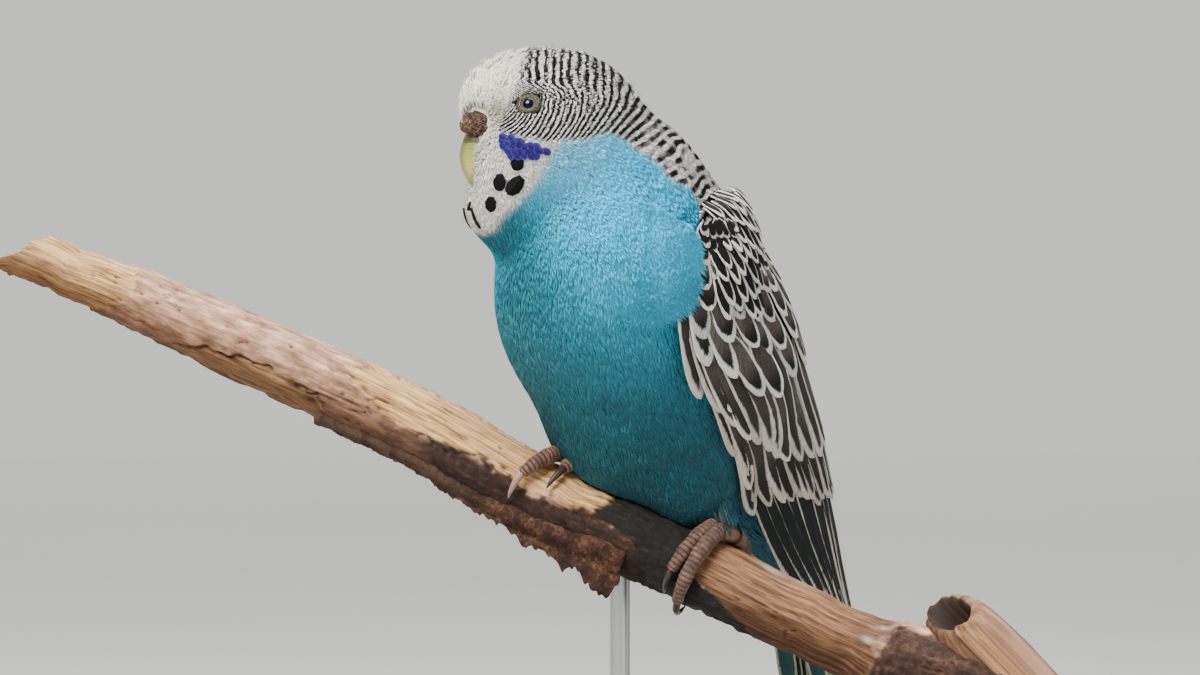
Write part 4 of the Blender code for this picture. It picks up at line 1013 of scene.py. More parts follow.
def dress_skin():
    """One skin under the coat, with the same markings, and the wings' cores."""
    rings, _ = body_surface(-COAT_DEPTH, 110, 110, (14, 9))
    rings = clear_of_perch(rings, 0.3)
    parts = [tube_mesh(rings)]
    along, across = np.linspace(0.03, 0.8, 40)[:, None], np.linspace(0, 1, 24)[None]
    for side in (1, -1):
        low = np.interp(along, (0, 0.5, 0.8), (0.10, 0.08, 0.2))
        high = np.interp(along, (0, 0.5, 0.8), (0.95, 0.95, 0.75))
        places, _ = wing_point(side, along + 0 * across, low + (high - low) * across, -0.7)
        under, _ = wing_point(side, along + 0 * across, low + (high - low) * across, -1.5)
        section = np.concatenate([places, under[:, ::-1]], 1)
        parts.append(tube_mesh(section if side < 0 else section[:, ::-1]))
    points, groups = join_groups(parts)
    dye, wave, ink = markings(points)
    trunk = len(parts[0][0])
    dye[trunk:], ink[trunk:] = BLACK, 0.0
    lie = np.stack([points[:, 0] * 2, points[:, 2] * 0.5], -1)
    # Painted shade: the skin takes the markings' colour at 0.8, darker where it shows between the feathers.
    made = add_piece("skin", points, groups, PLUMAGE, lie, {"dye": dye * 0.8, "wave": wave, "ink": ink})
    turn_out(made)
    return made


def turn_out(made):
    """Recalculate a piece's faces so that they look outward."""
    mesh = bmesh.new()
    mesh.from_mesh(made.data)
    bmesh.ops.recalc_face_normals(mesh, faces=mesh.faces)
    mesh.to_mesh(made.data)
    mesh.free()


# Firm feathers. Tips of each wing tier as (along, across) places from the leading edge back,
# then their number, length along, half width and height at the root in millimetres, rise per
# millimetre, pale margin, and the colours of vane and margin.
BLACK, BROWN, SLATE = (0.004, 0.0035, 0.0035), (0.022, 0.0175, 0.015), (0.006, 0.0085, 0.0095)
WHITE, TAN = (0.80, 0.77, 0.72), (0.66, 0.58, 0.50)
WING_TIERS = {
    "primaries": (((0.86, 0.03), (0.91, 0.14), (0.95, 0.25), (0.98, 0.37), (1.0, 0.5)), 10, 0.42,
                  2.0, -0.45, 0.012, 0.95, SLATE, TAN),
    "tertials": (((0.76, 0.50), (0.79, 0.66), (0.78, 0.93)), 7, 0.30, 2.3, -0.15, 0.022, 0.8, BLACK, WHITE),
    "secondaries": (((0.60, 0.02), (0.635, 0.13), (0.665, 0.21), (0.70, 0.28), (0.735, 0.36), (0.775, 0.50)), 11,
                    0.32, 2.1, -0.15, 0.022, 0.75, (0.010, 0.008, 0.008), TAN),
    "primary_coverts": (((0.46, 0.0), (0.50, 0.02), (0.54, 0.02), (0.58, 0.03)), 4, 0.22, 1.7, 0.05, 0.03, 0.7,
                        BLACK, TAN),
    "long_coverts": (((0.33, 0.0), (0.385, 0.03), (0.43, 0.05), (0.465, 0.085), (0.51, 0.125), (0.555, 0.18),
                      (0.60, 0.25), (0.635, 0.34), (0.655, 0.46), (0.675, 0.6), (0.69, 0.75), (0.69, 0.93)), 15,
                     0.29, 2.4, 0.10, 0.022, 1.0, BROWN, (0.72, 0.66, 0.60)),
    "third_scallops": (((0.28, 0.03), (0.36, 0.13), (0.42, 0.20), (0.445, 0.40), (0.48, 0.66), (0.50, 0.93)), 8,
                       0.15, 2.9, 0.50, 0.042, 1.05, BLACK, WHITE),
    "second_scallops": (((0.23, 0.06), (0.30, 0.20), (0.365, 0.29), (0.40, 0.54), (0.43, 0.93)), 8, 0.13, 2.8, 0.50,
                        0.045, 1.0, BLACK, WHITE),
    "first_scallops": (((0.19, 0.10), (0.245, 0.225), (0.30, 0.36), (0.34, 0.6), (0.36, 0.94)), 9, 0.12, 2.5, 0.50,
                       0.045, 0.9, BLACK, WHITE),
    "small_scallops": (((0.14, 0.12), (0.20, 0.30), (0.26, 0.5), (0.30, 0.94)), 10, 0.10, 2.1, 0.50, 0.045, 0.75,
                       BLACK, WHITE),
    "small_coverts": (((0.10, 0.16), (0.155, 0.30), (0.21, 0.6), (0.25, 0.95)), 11, 0.085, 1.8, 0.50, 0.045, 0.62,
                      BLACK, WHITE),
    "shoulder_coverts": (((0.06, 0.20), (0.11, 0.35), (0.155, 0.65), (0.19, 0.96)), 12, 0.075, 1.5, 0.50, 0.045,
                         0.62, BLACK, WHITE),
    "top_coverts": (((0.03, 0.22), (0.065, 0.4), (0.10, 0.65), (0.13, 0.97)), 13, 0.06, 1.3, 0.50, 0.045, 0.52,
                    BLACK, WHITE),
}
WING_LENGTH, WING_DEPTH = 105.0, 34.0
VANE_STEPS = np.array((0.0, 0.15, 0.32, 0.48, 0.62, 0.74, 0.83, 0.90, 0.95, 0.985, 1.0))
VANE_ACROSS = np.array((-1.0, -0.8, -0.5, -0.16, 0.0, 0.16, 0.5, 0.8, 1.0))
VANE_THICK = 0.13


def vane_section():
    top = [(x, 0.10 * math.exp(-(x / 0.14) ** 2) - 0.22 * x * x) for x in VANE_ACROSS]
    return np.array(top + [(x, z - VANE_THICK - 0.1 * math.exp(-(x / 0.14) ** 2)) for x, z in reversed(top)])


def vane_widths(half, roundness):
    """Half widths down a vane: narrow at the root, full, then rounded or pointed at the tip."""
    rounding = np.clip((VANE_STEPS - roundness) / (1 - roundness), 0, 1)
    widths = (0.5 + 0.5 * smooth(VANE_STEPS, 0, 0.35)) * np.sqrt(np.maximum(1 - rounding ** 2.2, 0.012))
    return np.asarray(half)[..., None] * widths


def vanes(name, paths, ups, halves, finish, dyes, rims, margins, tilt=0.0, tip_margin=1.0, roots=None):
    """A piece of firm feathers with their marks: distance to the edge, barb phase and colours."""
    number = len(paths)
    section = vane_section()
    points, groups, across, along = strands(paths, ups, halves, section, False, tilt)
    lengths = np.linalg.norm(np.diff(paths, axis=1), axis=-1).sum(1)
    steps = np.interp(along, np.linspace(0, 1, len(VANE_STEPS)), VANE_STEPS)
    run = steps * lengths[:, None]
    width = np.repeat(halves, len(section), 1)
    edge = np.minimum(width - np.abs(across), (lengths[:, None] - run) * 0.9)
    barb = run + np.abs(across) * -1.2
    side = math.ceil(math.sqrt(number * 2))
    flip = np.tile(np.arange(len(section)) >= len(VANE_ACROSS), len(VANE_STEPS))[None] * 1
    cell = np.arange(number)[:, None] * 2 + flip
    bake = np.stack([(cell % side + 0.5 + across / (2.3 * halves.max())) / side,
                     (cell // side + 0.04 + steps * 0.92) / side], -1)
    lie = np.stack([barb + np.arange(number)[:, None] * 3.1, np.abs(across) + run * 0.1], -1)
    spread = np.ones_like(edge)
    wide = 0.55 + (tip_margin - 0.55) * smooth(steps, 0.55, 0.94)
    dye = spread[..., None] * np.asarray(dyes).reshape(-1, 1, 3)
    if roots is not None:
        dye = dye + (np.asarray(roots).reshape(-1, 1, 3) - dye) * (1 - smooth(steps, 0.52, 0.82))[..., None]
    marks = {"edge": edge, "barb": barb, "margin": wide * np.asarray(margins).reshape(-1, 1),
             "dye": dye,
             "rim": spread[..., None] * np.asarray(rims).reshape(-1, 1, 3)}
    return add_piece(name, points, groups, finish, lie, marks, bake)


def dress_wing(name, side):
    """Tiers of firm feathers from the flight feathers up to the small coverts."""
    paths, ups, halves, dyes, roots, margins, rims = [], [], [], [], [], [], []
    for tips, number, length, half, low, slope, margin, dye, rim in WING_TIERS.values():
        line = np.linspace(0, 1, len(tips))
        for i in range(number):
            share = i / (number - 1)
            tip = np.interp(share, line, [row[0] for row in tips]) + rng.normal(0, 0.005)
            across = np.interp(share, line, [row[1] for row in tips]) + rng.normal(0, 0.006)
            long = length * rng.uniform(0.95, 1.05)
            along = np.clip(tip - long * (1 - VANE_STEPS), 0.0, 1.0)
            start = max(across * 0.94 + 0.02 + rng.normal(0, 0.012), half / WING_DEPTH)
            lift = low + slope * WING_LENGTH * long * VANE_STEPS + 0.05 * rng.random()
            place, out = wing_point(side, along, start + (across - start) * VANE_STEPS, lift)
            paths.append(place)
            ups.append(out)
            ragged = 1 + rng.normal(0, 0.02, len(VANE_STEPS))
            halves.append(vane_widths(half * rng.uniform(0.92, 1.08), 0.82 if long > 0.2 else 0.66) * ragged)
            dyes.append(np.array(dye) * rng.uniform(0.8, 1.25))
            pale_root = (0.012, 0.010, 0.009) if length < 0.09 else (0.075, 0.060, 0.053)
            pale_root = (0.048, 0.039, 0.034) if length > 0.16 else pale_root
            roots.append(dye if dye is SLATE else np.array(pale_root) * rng.uniform(0.5, 1.3))
            margins.append(margin * rng.uniform(0.62, 1.30))
            rims.append(np.array(rim) * rng.uniform(0.72, 1.10))
    return vanes(name, np.array(paths), np.array(ups), np.array(halves), VANE, dyes, rims, margins,
                 tilt=0.10 * side, tip_margin=1.5, roots=roots)


def wing_nearness(points):
    """Distance from places to the nearest point on either wing's face."""
    along, across = np.linspace(0.0, 1.0, 60)[:, None], np.linspace(0.0, 1.0, 18)[None]
    faces = np.vstack([wing_point(side, along, across)[0].reshape(-1, 3) for side in (1, -1)])
    return np.array([np.linalg.norm(faces - point, axis=-1).min() for point in points])


def dress_mantle():
    """Barred feathers over the shoulders and the upper back, down to the wings' first rows."""
    places, ways, _ = coat_roots(9000)
    shown = mirrored(places)
    x, z = shown[..., 0], shown[..., 2]
    back = (x > 15.8) & (z < 69 - 0.15 * (x - 16)) & (z > 50) & (places @ FORWARD < 3)
    places, ways = places[back], ways[back]
    near = wing_nearness(places)
    kept = spread_out(places, np.interp(places[:, 2], (54, 68), (2.6, 1.7)))
    places, ways, near = places[kept], ways[kept], near[kept]
    open_ones = near < 14
    places, ways, near = places[open_ones], ways[open_ones], near[open_ones]
    order = np.argsort(places[:, 2])
    places, ways, near = places[order], ways[order], near[order]
    outs = outward(places)
    lies = unit(ways - outs * (ways * outs).sum(-1, keepdims=True))
    lengths = np.interp(places[:, 2], (52, 68), (8.5, 5.0)) * rng.uniform(0.9, 1.1, len(places))
    line = places[:, None] + lies[:, None] * (lengths[:, None] * VANE_STEPS)[..., None]
    over = smooth(wing_nearness(line.reshape(-1, 3)).reshape(line.shape[:2]), 6.0, 1.5)
    height = -0.3 + 0.9 * VANE_STEPS + 3.0 * over
    line, up = settle(line, height)
    number = len(places)
    halves = vane_widths(np.interp(places[:, 2], (52, 68), (1.7, 1.0)) * rng.uniform(0.9, 1.1, number), 0.6)
    return vanes("mantle_feathers", line, up, halves, VANE,
                 [np.array(BLACK) * rng.uniform(0.8, 1.4) for _ in range(number)],
                 [np.array(WHITE) * rng.uniform(0.8, 1.0) for _ in range(number)],
                 rng.uniform(0.45, 0.75, number), tip_margin=1.5)


def dress_shoulder(name, side):
    """Soft blue feathers that lap over the front of the folded wing."""
    number = 1250
    along = -0.10 + 0.245 * rng.beta(1.3, 1.2, number)
    edge = np.interp(along, (-0.1, 0.0, 0.02, 0.08, 0.105, 0.145), (0.06, 0.12, 0.12, 0.09, 0.05, 0.015))
    near = np.interp(along, (0.0, 0.06, 0.145), (-0.22, -0.18, -0.08))
    across = near + (edge - near) * rng.random(number)
    lengths = rng.uniform(3.4, 5.2, number)
    blades = 7
    fan = np.linspace(-1, 1, blades)
    turn = fan[None] * 0.28 + rng.normal(0, 0.06, (number, 1)) + rng.normal(0, 0.04, (number, blades)) + 0.12
    run = (lengths[:, None] * (1 - 0.28 * fan ** 2))[..., None] * BLADE_STEPS
    down = along[:, None, None] + run * np.cos(turn)[..., None] / WING_LENGTH
    aside = across[:, None, None] + run * np.sin(turn)[..., None] / WING_DEPTH + (fan * 0.012)[None, :, None]
    low = np.interp(aside, (-0.18, -0.10, -0.02, 0.06, 0.20), (-3.0, -1.9, 0.8, 1.3, 1.5))
    lift = low - 0.8 * (1 - BLADE_STEPS) ** 1.7 + rng.uniform(0.05, 0.3, (number, 1, 1)) * BLADE_STEPS
    down, aside, lift = (grid.reshape(-1, 4) for grid in (down, aside, lift))
    paths, ups = wing_point(side, np.maximum(down, 0), aside, lift)
    ahead = (wing_point(side, 0.02, aside)[0] - wing_point(side, 0.0, aside)[0]) / 0.02
    before = np.minimum(down, 0)
    height = outline(paths)
    flat = 0.14 - 1.1 * (1 - np.tile(BLADE_STEPS, (len(paths), 1)))
    on_wing = smooth(before, -0.09, 0.01) * smooth(aside, -0.20, 0.03)
    wanted = flat + (height - flat) * on_wing
    moved, over_body = settle(paths + before[..., None] * ahead, wanted)
    above = (on_wing < 1)[..., None]
    paths, ups = np.where(above, moved, paths), np.where(above, over_body, ups)
    halves = (0.22 + 0 * turn).reshape(-1, 1) * BLADE_WIDTHS
    points, groups, across_blade, along_blade = strands(paths, ups, halves, BLADE, True)
    shown = mirrored(points)
    # Painted shade: each blade is darker towards its root.
    dye = blue_dye_and_shade(np.minimum(shown[..., 0], 15), shown[..., 2]) * (0.9 + 0.14 * along_blade)[..., None]
    dye = dye * rng.normal(1.0, 0.03, (len(paths), 1, 1)) * (1 + 0.26 * mottle(points))[..., None]
    owner = np.repeat(np.arange(number), blades)
    root = np.stack([across * 0.5 + 0.3, along * 2 + 0.2], -1)[owner]
    bake = root[:, None] + np.stack([across_blade / 1.2, along_blade - 0.5], -1) * 0.003
    lie = np.stack([across_blade + owner[:, None] * 0.37, along_blade * 4], -1)
    none = np.zeros(along_blade.shape)
    return add_piece(name, points, groups, PLUMAGE, lie, {"dye": dye, "wave": none, "ink": none}, bake)


LEG_RADII = (2.0, 2.3, 3.0)


def dress_thighs():
    """Blue tufts that hang over the legs down to the feet, with a few brown hairs."""
    paths, ups = [], []
    for side_name, foot in FEET.items():
        inward = -LEFT if side_name == "left" else LEFT
        place, radius, ahead, up, _ = perch_axis(foot["at"])
        base = place + up * (radius + PAD_HALF[2] + GAP + 0.9) + ahead * 0.4
        top = base + UP * 9.5 - FORWARD * 1.0 + inward * 7.0
        axis = unit(base - top)
        level = unit(np.cross(axis, UP))
        third = np.cross(axis, level)
        for _ in range(420):
            turn, share = rng.uniform(0, 2 * math.pi), rng.uniform(0.0, 0.9)
            out = math.cos(turn) * level + math.sin(turn) * third
            run = rng.uniform(3.0, 4.6) * BLADE_STEPS
            at = top + (base - top) * share + np.outer(run, axis)
            girth = np.interp(share + run / 11.5, (0, 0.5, 1.0, 1.3), (LEG_RADII[2], LEG_RADII[1], LEG_RADII[0], 1.6))
            path = at + np.outer(girth + 0.45 + 0.5 * BLADE_STEPS * rng.random(), out)
            keep = (path[:, 2] < base[2] - 2.2).any()
            if not keep:
                paths.append(path)
                ups.append(np.repeat(out[None], 4, 0))
    number = len(paths)
    paths = clear_of_perch(np.array(paths), 0.4)
    halves = (0.20 * rng.uniform(0.5, 1.2, (number, 1))) * BLADE_WIDTHS
    points, groups, across, along = strands(paths, np.array(ups), halves, BLADE, True)
    shown = mirrored(points)
    # Painted shade: the tufts under the belly are darkened to half their blue, and darkest at the root.
    dye = blue_dye_and_shade(shown[..., 0], shown[..., 2]) * (0.5 + 0.2 * along)[..., None]
    brown = (rng.random((number, 1)) < 0.10)[..., None]
    dye = np.where(brown, np.array((0.10, 0.060, 0.045)), dye) * rng.uniform(0.8, 1.15, (number, 1, 1))
    owner = np.arange(number)[:, None]
    cells = math.ceil(math.sqrt(number))
    bake = np.stack([(owner % cells + 0.5) / cells + across / 500, (owner // cells + 0.1) / cells + along / (1.4 * cells)], -1)
    lie = np.stack([across + owner * 0.37, along * 4], -1)
    none = np.zeros(along.shape)
    return add_piece("thigh_tufts", points, groups, PLUMAGE, lie, {"dye": dye, "wave": none, "ink": none}, bake)


# Tail feathers: tip along, half width, level under the top and place off the middle.
TAIL_FEATHERS = ((94, 3.9, 0, 0), (90, 3.9, 1, 0), (76, 3.3, 2, 3.6), (76, 3.3, 2, -3.6), (65, 3.3, 3, 4.3),
                 (65, 3.3, 3, -4.3), (55, 3.2, 4, 5.1), (55, 3.2, 4, -5.1), (46, 3.1, 5, 5.9), (46, 3.1, 5, -5.9),
                 (38, 3.0, 6, 6.7), (38, 3.0, 6, -6.7))
TAIL_LEVEL, TAIL_TOP, TAIL_START, TAIL_FAN = 0.85, 2.5, 4.0, (0.5, 45.0)


def dress_tail():
    paths, ups, halves, dyes, rims, margins = [], [], [], [], [], []
    for tip, half, level, off in TAIL_FEATHERS:
        along = TAIL_START + (tip - TAIL_START) * VANE_STEPS
        fan = TAIL_FAN[0] + (1 - TAIL_FAN[0]) * np.minimum((along - 12) / TAIL_FAN[1], 1)
        above = TAIL_TOP - level * TAIL_LEVEL
        paths.append(tail_point(along, off * fan, above))
        ups.append(tail_point(along, off * fan, above + 1) - tail_point(along, off * fan, above))
        halves.append(vane_widths(half, 0.72))
        dyes.append((0.010, 0.050, 0.085) if level < 2 else (0.010, 0.045, 0.050))
        rims.append((0.02, 0.06, 0.08) if level < 2 else (0.42, 0.40, 0.28))
        margins.append(0.15 if level < 2 else 0.9)
    return vanes("tail_feathers", np.array(paths), np.array(ups), np.array(halves), VANE,
                 dyes, rims, margins)


# The violet band of the cheek in the photo's plane: its middle line and half height. Then the
# black throat spots there with their length, half width and turn.
PETAL_BAND = ((-23, -21, -18, -15), (77.7, 76.4, 75.8, 75.8), (1.0, 2.1, 1.6, 0.75))
THROAT_SPOTS = ((-23.6, 69.6, 3.3, 1.30, -0.45), (-20.8, 69.0, 4.4, 1.50, -1.15), (-25.3, 65.4, 3.0, 1.15, -0.35),
                (-20.1, 73.3, 2.7, 1.30, -0.6), (-28.3, 62.6, 4.4, 0.36, 0.0), (-29.6, 65.0, 1.8, 0.28, 0.0))


def side_place(x, z):
    """Place on the bird's left face that the photo shows at a place in its plane."""
    start = np.array([x, 30.0, z])
    low, high = 0.0, 90.0
    steps = np.linspace(0, 90, 400)
    line = np.array([x, -60.0, z]) + np.outer(steps, (0, 1, 0))
    inside = outline(line) < 0
    if not inside.any():
        return None
    return line[np.argmax(inside)]


def laid_vanes(name, rows, finish, dye, rim, margin, rough):
    """Single feathers laid on the face, on both sides of the head."""
    paths, ups, halves = [], [], []
    for x, z, length, half, turn, lift in rows:
        root = side_place(x, z)
        if root is None:
            continue
        out = outward(root[None])[0]
        lie = lie_of(root[None], np.array([(0, 0, -1.0)]), out[None])[0]
        aside = np.cross(out, lie)
        lie = lie * math.cos(turn) + aside * math.sin(turn)
        line = root + np.outer((VANE_STEPS - 0.55) * length, lie)
        line, up = settle(line, lift + 0.2 * np.sin(VANE_STEPS * 2.6))
        ragged = 1 + rng.normal(0, rough, len(VANE_STEPS))
        for side in (1, -1):
            if side < 0:
                line = line - 2 * ((line - HEAD_CENTRE) @ HEAD_LEFT)[:, None] * HEAD_LEFT
                up = up - 2 * (up @ HEAD_LEFT)[:, None] * HEAD_LEFT
            paths.append(line)
            ups.append(up)
            halves.append(vane_widths(half, 0.55) * ragged)
    number = len(paths)
    dyes = [np.array(dye) * rng.uniform(0.75, 1.3) for _ in range(number)]
    return vanes(name, np.array(paths), np.array(ups), np.array(halves), finish, dyes,
                 [rim] * number, [margin] * number)


def dress_face():
    petals = []
    for row, z in enumerate(np.arange(79.2, 73.6, -0.85)):
        for x in np.arange(-23.0 + 0.6 * (row % 2), -14.6, 1.2):
            middle, half = (np.interp(x, PETAL_BAND[0], line) for line in PETAL_BAND[1:])
            if abs(z - middle) < half:
                lift = 0.88 - 0.032 * (x + 24 + 79 - z)
                petals.append((x + rng.normal(0, 0.15), z + rng.normal(0, 0.12), rng.uniform(1.7, 2.2),
                               rng.uniform(0.66, 0.84), rng.normal(0, 0.25), lift))
    # The petals' lighter violet margins are painted highlight on the violet petals.
    laid_vanes("cheek_petals", petals, PETAL, (0.017, 0.012, 0.10), (0.062, 0.050, 0.29), 0.34, 0.05)
    spots = [(x, z, length, half, turn, 0.36) for x, z, length, half, turn in THROAT_SPOTS]
    laid_vanes("throat_spots", spots, PETAL, (0.006, 0.0055, 0.006), (0.012, 0.011, 0.012), 0.12,
               0.04)


def dress_eyes():
    """Eye balls with pupil and iris, and the naked ring of wrinkled skin round each."""
    eye, lid = eye_finish(), lid_finish()
    for name, side in (("left", 1), ("right", -1)):
        rim, level, rise, out = EYES[side]
        centre = rim - out * (EYE_RADIUS - EYE_PROUD)
        polar = np.linspace(0.02, math.pi - 0.02, 44)[:, None]
        turn = np.linspace(0, 2 * math.pi, 48, endpoint=False)[None] * side
        ball = (np.cos(polar)[..., None] * out + (np.sin(polar) * np.cos(turn))[..., None] * level
                + (np.sin(polar) * np.sin(turn))[..., None] * rise)
        points, groups = tube_mesh(centre + ball * EYE_RADIUS)
        marks = np.append((polar + 0 * turn).ravel(), (0.0, math.pi))
        lie = np.stack([np.append((turn + 0 * polar).ravel(), (0, 0)), marks], -1)
        made = add_piece("eyeball_" + name, points, groups, eye, lie, {"polar": marks})
        turn_out(made)
        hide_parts("eye_" + name)
        loop = np.linspace(0, 2 * math.pi, 90, endpoint=False)
        rings = []
        for k, (reach_out, height) in enumerate(((1.62, -0.55), (1.60, 0.05), (1.72, 0.30), (1.92, 0.36),
                                                 (2.10, 0.28), (2.24, 0.34), (2.42, 0.24), (2.62, 0.02),
                                                 (2.75, -0.35), (2.72, -0.8))):
            wrinkle = 0.05 * np.sin(loop * (34 + k % 2)) * (2 <= k <= 7)
            far = np.stack([np.cos(loop), 0.84 * np.sin(loop)], -1) * (reach_out + wrinkle)[:, None] * LID_SPREAD
            place = rim + far[:, :1] * level + far[:, 1:] * rise
            base = place + outward(place) * (-outline(place))[:, None]
            rings.append(base + out * (height + wrinkle * 0.8)[:, None])
        rings = np.array(rings)
        faces = grid_faces(len(rings), 90, True)
        close = np.stack([np.arange(90), (np.arange(90) + 1) % 90], -1)
        last = (len(rings) - 1) * 90
        back = np.stack([close[:, 0] + last, close[:, 1] + last, close[:, 1], close[:, 0]], -1)
        levels = np.repeat(np.array((0, 0.04, 0.12, 0.28, 0.40, 0.48, 0.60, 0.75, 0.9, 1.0)), 90)
        made = add_piece("lids_" + name, rings, [faces, back], lid, None, {"ring": levels})
        turn_out(made)


def dress_cere():
    """Crusty brown cere in two swellings, each with its nostril, flaking at the lower edge."""
    centres = [head((14.7, side * 2.9, 0.65)) for side in (1, -1)]
    axes = np.stack([HEAD_FORWARD, HEAD_LEFT, UP])
    half = np.array((4.5, 3.7, 3.15))
    mouths = [head((17.8, side * 4.4, 1.8)) for side in (1, -1)]

    def field(points):
        lumps = [np.linalg.norm(((points - c) @ axes.T) / half, axis=-1) - 1 for c in centres]
        joined = -0.16 * np.log(sum(np.exp(-lump / 0.16) for lump in lumps))
        crust = 0.07 * (noise(points, 0.55, 3) - 0.5) + 0.10 * (noise(points, 1.1, 4) - 0.5)
        crust -= 0.09 * np.abs(np.sin(7 * noise(points, 1.7, 5)))
        hole = sum(np.exp(-((points - m) ** 2).sum(-1) / 0.55) for m in mouths)
        return joined - crust * 0.9 + 0.34 * hole

    centre = head((15.3, 0, 0.75))
    polar = np.linspace(0.01, math.pi - 0.01, 90)[:, None]
    turn = np.linspace(0, 2 * math.pi, 130, endpoint=False)[None]
    rays = (np.cos(polar)[..., None] * UP + (np.sin(polar) * np.cos(turn))[..., None] * HEAD_FORWARD
            + (np.sin(polar) * np.sin(turn))[..., None] * HEAD_LEFT)
    low, high = np.zeros(rays.shape[:-1]), np.full(rays.shape[:-1], 8.0)
    for _ in range(18):
        middle = (low + high) / 2
        inside = field(centre + rays * middle[..., None]) < 0
        low, high = np.where(inside, middle, low), np.where(inside, high, middle)
    points, groups = tube_mesh(centre + rays * ((low + high) / 2)[..., None])
    made = add_piece("crusty_cere", points, groups, cere_finish())
    turn_out(made)
    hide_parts("cere")


BILL_UPPER = ((17.7, -0.6, 12.0, -0.6, 3.2), (18.4, -2.2, 12.0, -2.2, 3.5), (19.2, -5.0, 11.8, -4.4, 3.5),
              (19.0, -7.8, 12.4, -6.4, 3.2), (17.9, -10.4, 14.0, -8.0, 2.5),
              (16.5, -12.4, 14.9, -9.6, 1.6), (15.3, -13.7, 14.6, -12.6, 0.6))
BILL_LOWER = ((9.0, -9.0, 9.0, -13.6, 2.6), (11.8, -10.0, 11.4, -14.4, 2.5),
              (13.6, -11.6, 13.0, -14.8, 2.1), (14.3, -13.0, 13.7, -14.9, 1.2))


def dress_bill():
    horn = bill_finish()
    for name, rows in (("bill_upper", BILL_UPPER), ("bill_lower", BILL_LOWER)):
        share = np.linspace(0, 1, 60)
        ridge_f, ridge_u, palate_f, palate_u, wide = follow(rows, share).T
        turn = np.linspace(0, 2 * math.pi, 64, endpoint=False)
        middle = np.stack([(ridge_f + palate_f) / 2, 0 * share, (ridge_u + palate_u) / 2], -1)[:, None]
        rise = np.stack([ridge_f - palate_f, 0 * share, ridge_u - palate_u], -1)[:, None] / 2
        keel = 1 + 0.035 * np.exp(-(np.minimum(turn, 2 * math.pi - turn) / 0.3) ** 2)
        growth = 0.03 * np.sin(share * 70)[:, None, None] + 0.05 * noise(np.stack([share * 30, share * 0], -1), 1.0)[:, None, None]
        ring = middle + (np.cos(turn) * keel)[None, :, None] * rise
        ring = ring + np.sin(turn)[None, :, None] * np.array([0, 1.0, 0]) * wide[:, None, None]
        ring = ring + unit(ring - middle) * growth
        points, groups = tube_mesh(head(ring))
        grown = (share * 6 - 1) / 5 if name == "bill_upper" else share
        marks = np.append(np.repeat(grown, 64), (grown[0], 1))
        around = np.append(np.tile(turn, 60), (0, 0))
        ridge = np.exp(-(np.minimum(around, 2 * math.pi - around) / 0.5) ** 2)
        made = add_piece("horn_" + name, points, groups, horn, np.stack([around, marks * 10], -1),
                         {"share": marks, "ridge": ridge})
        turn_out(made)
        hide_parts(name)


# Feet, as in the part's source.
GAP = 0.3
TOE_RADII = (1.75, 1.68, 1.58, 1.46, 1.32, 1.15)
CLAW_RADII = (0.85, 0.8, 0.65, 0.45, 0.12)
CLAW_GAP = 0.45
FEET = {
    "left": {"at": 17.0, "toes": {
        "front_inner": ((-0.5, 8), (-1.3, 140), (-1.2, 188), 0.2),
        "front_outer": ((-2.0, 8), (-4.0, 96), (-4.2, 140), 1.0),
        "back_inner": ((0.5, -8), (2.2, -92), (2.2, -132), 1.0),
        "back_outer": ((1.8, -8), (5.4, -105), (5.8, -146), 1.0)}},
    "right": {"at": -14.0, "toes": {
        "front_inner": ((-1.5, 8), (-4.7, 66), (-5.0, 104), 0.8),
        "front_outer": ((1.4, 8), (1.2, 32), (0.6, 68), 1.0),
        "back_inner": ((0.0, -8), (-1.4, -96), (-1.4, -138), 1.0),
        "back_outer": ((1.8, -8), (4.2, -88), (4.4, -130), 1.0)}},
}
PAD_HALF = (2.9, 2.5, 1.9)
PALE_CLAWS = ("right_front_inner",)


def swept(path, radii, ups, around):
    """Rings round a path with the way up kept, turned from the top."""
    ahead = unit(np.gradient(path, axis=0))
    over = unit(ups - ahead * (ups * ahead).sum(-1, keepdims=True))
    side = np.cross(ahead, over)
    turn = np.linspace(0, 2 * math.pi, around, endpoint=False)
    ring = np.cos(turn)[None, :, None] * over[:, None] + np.sin(turn)[None, :, None] * side[:, None]
    return path[:, None] + ring * radii[..., None], turn


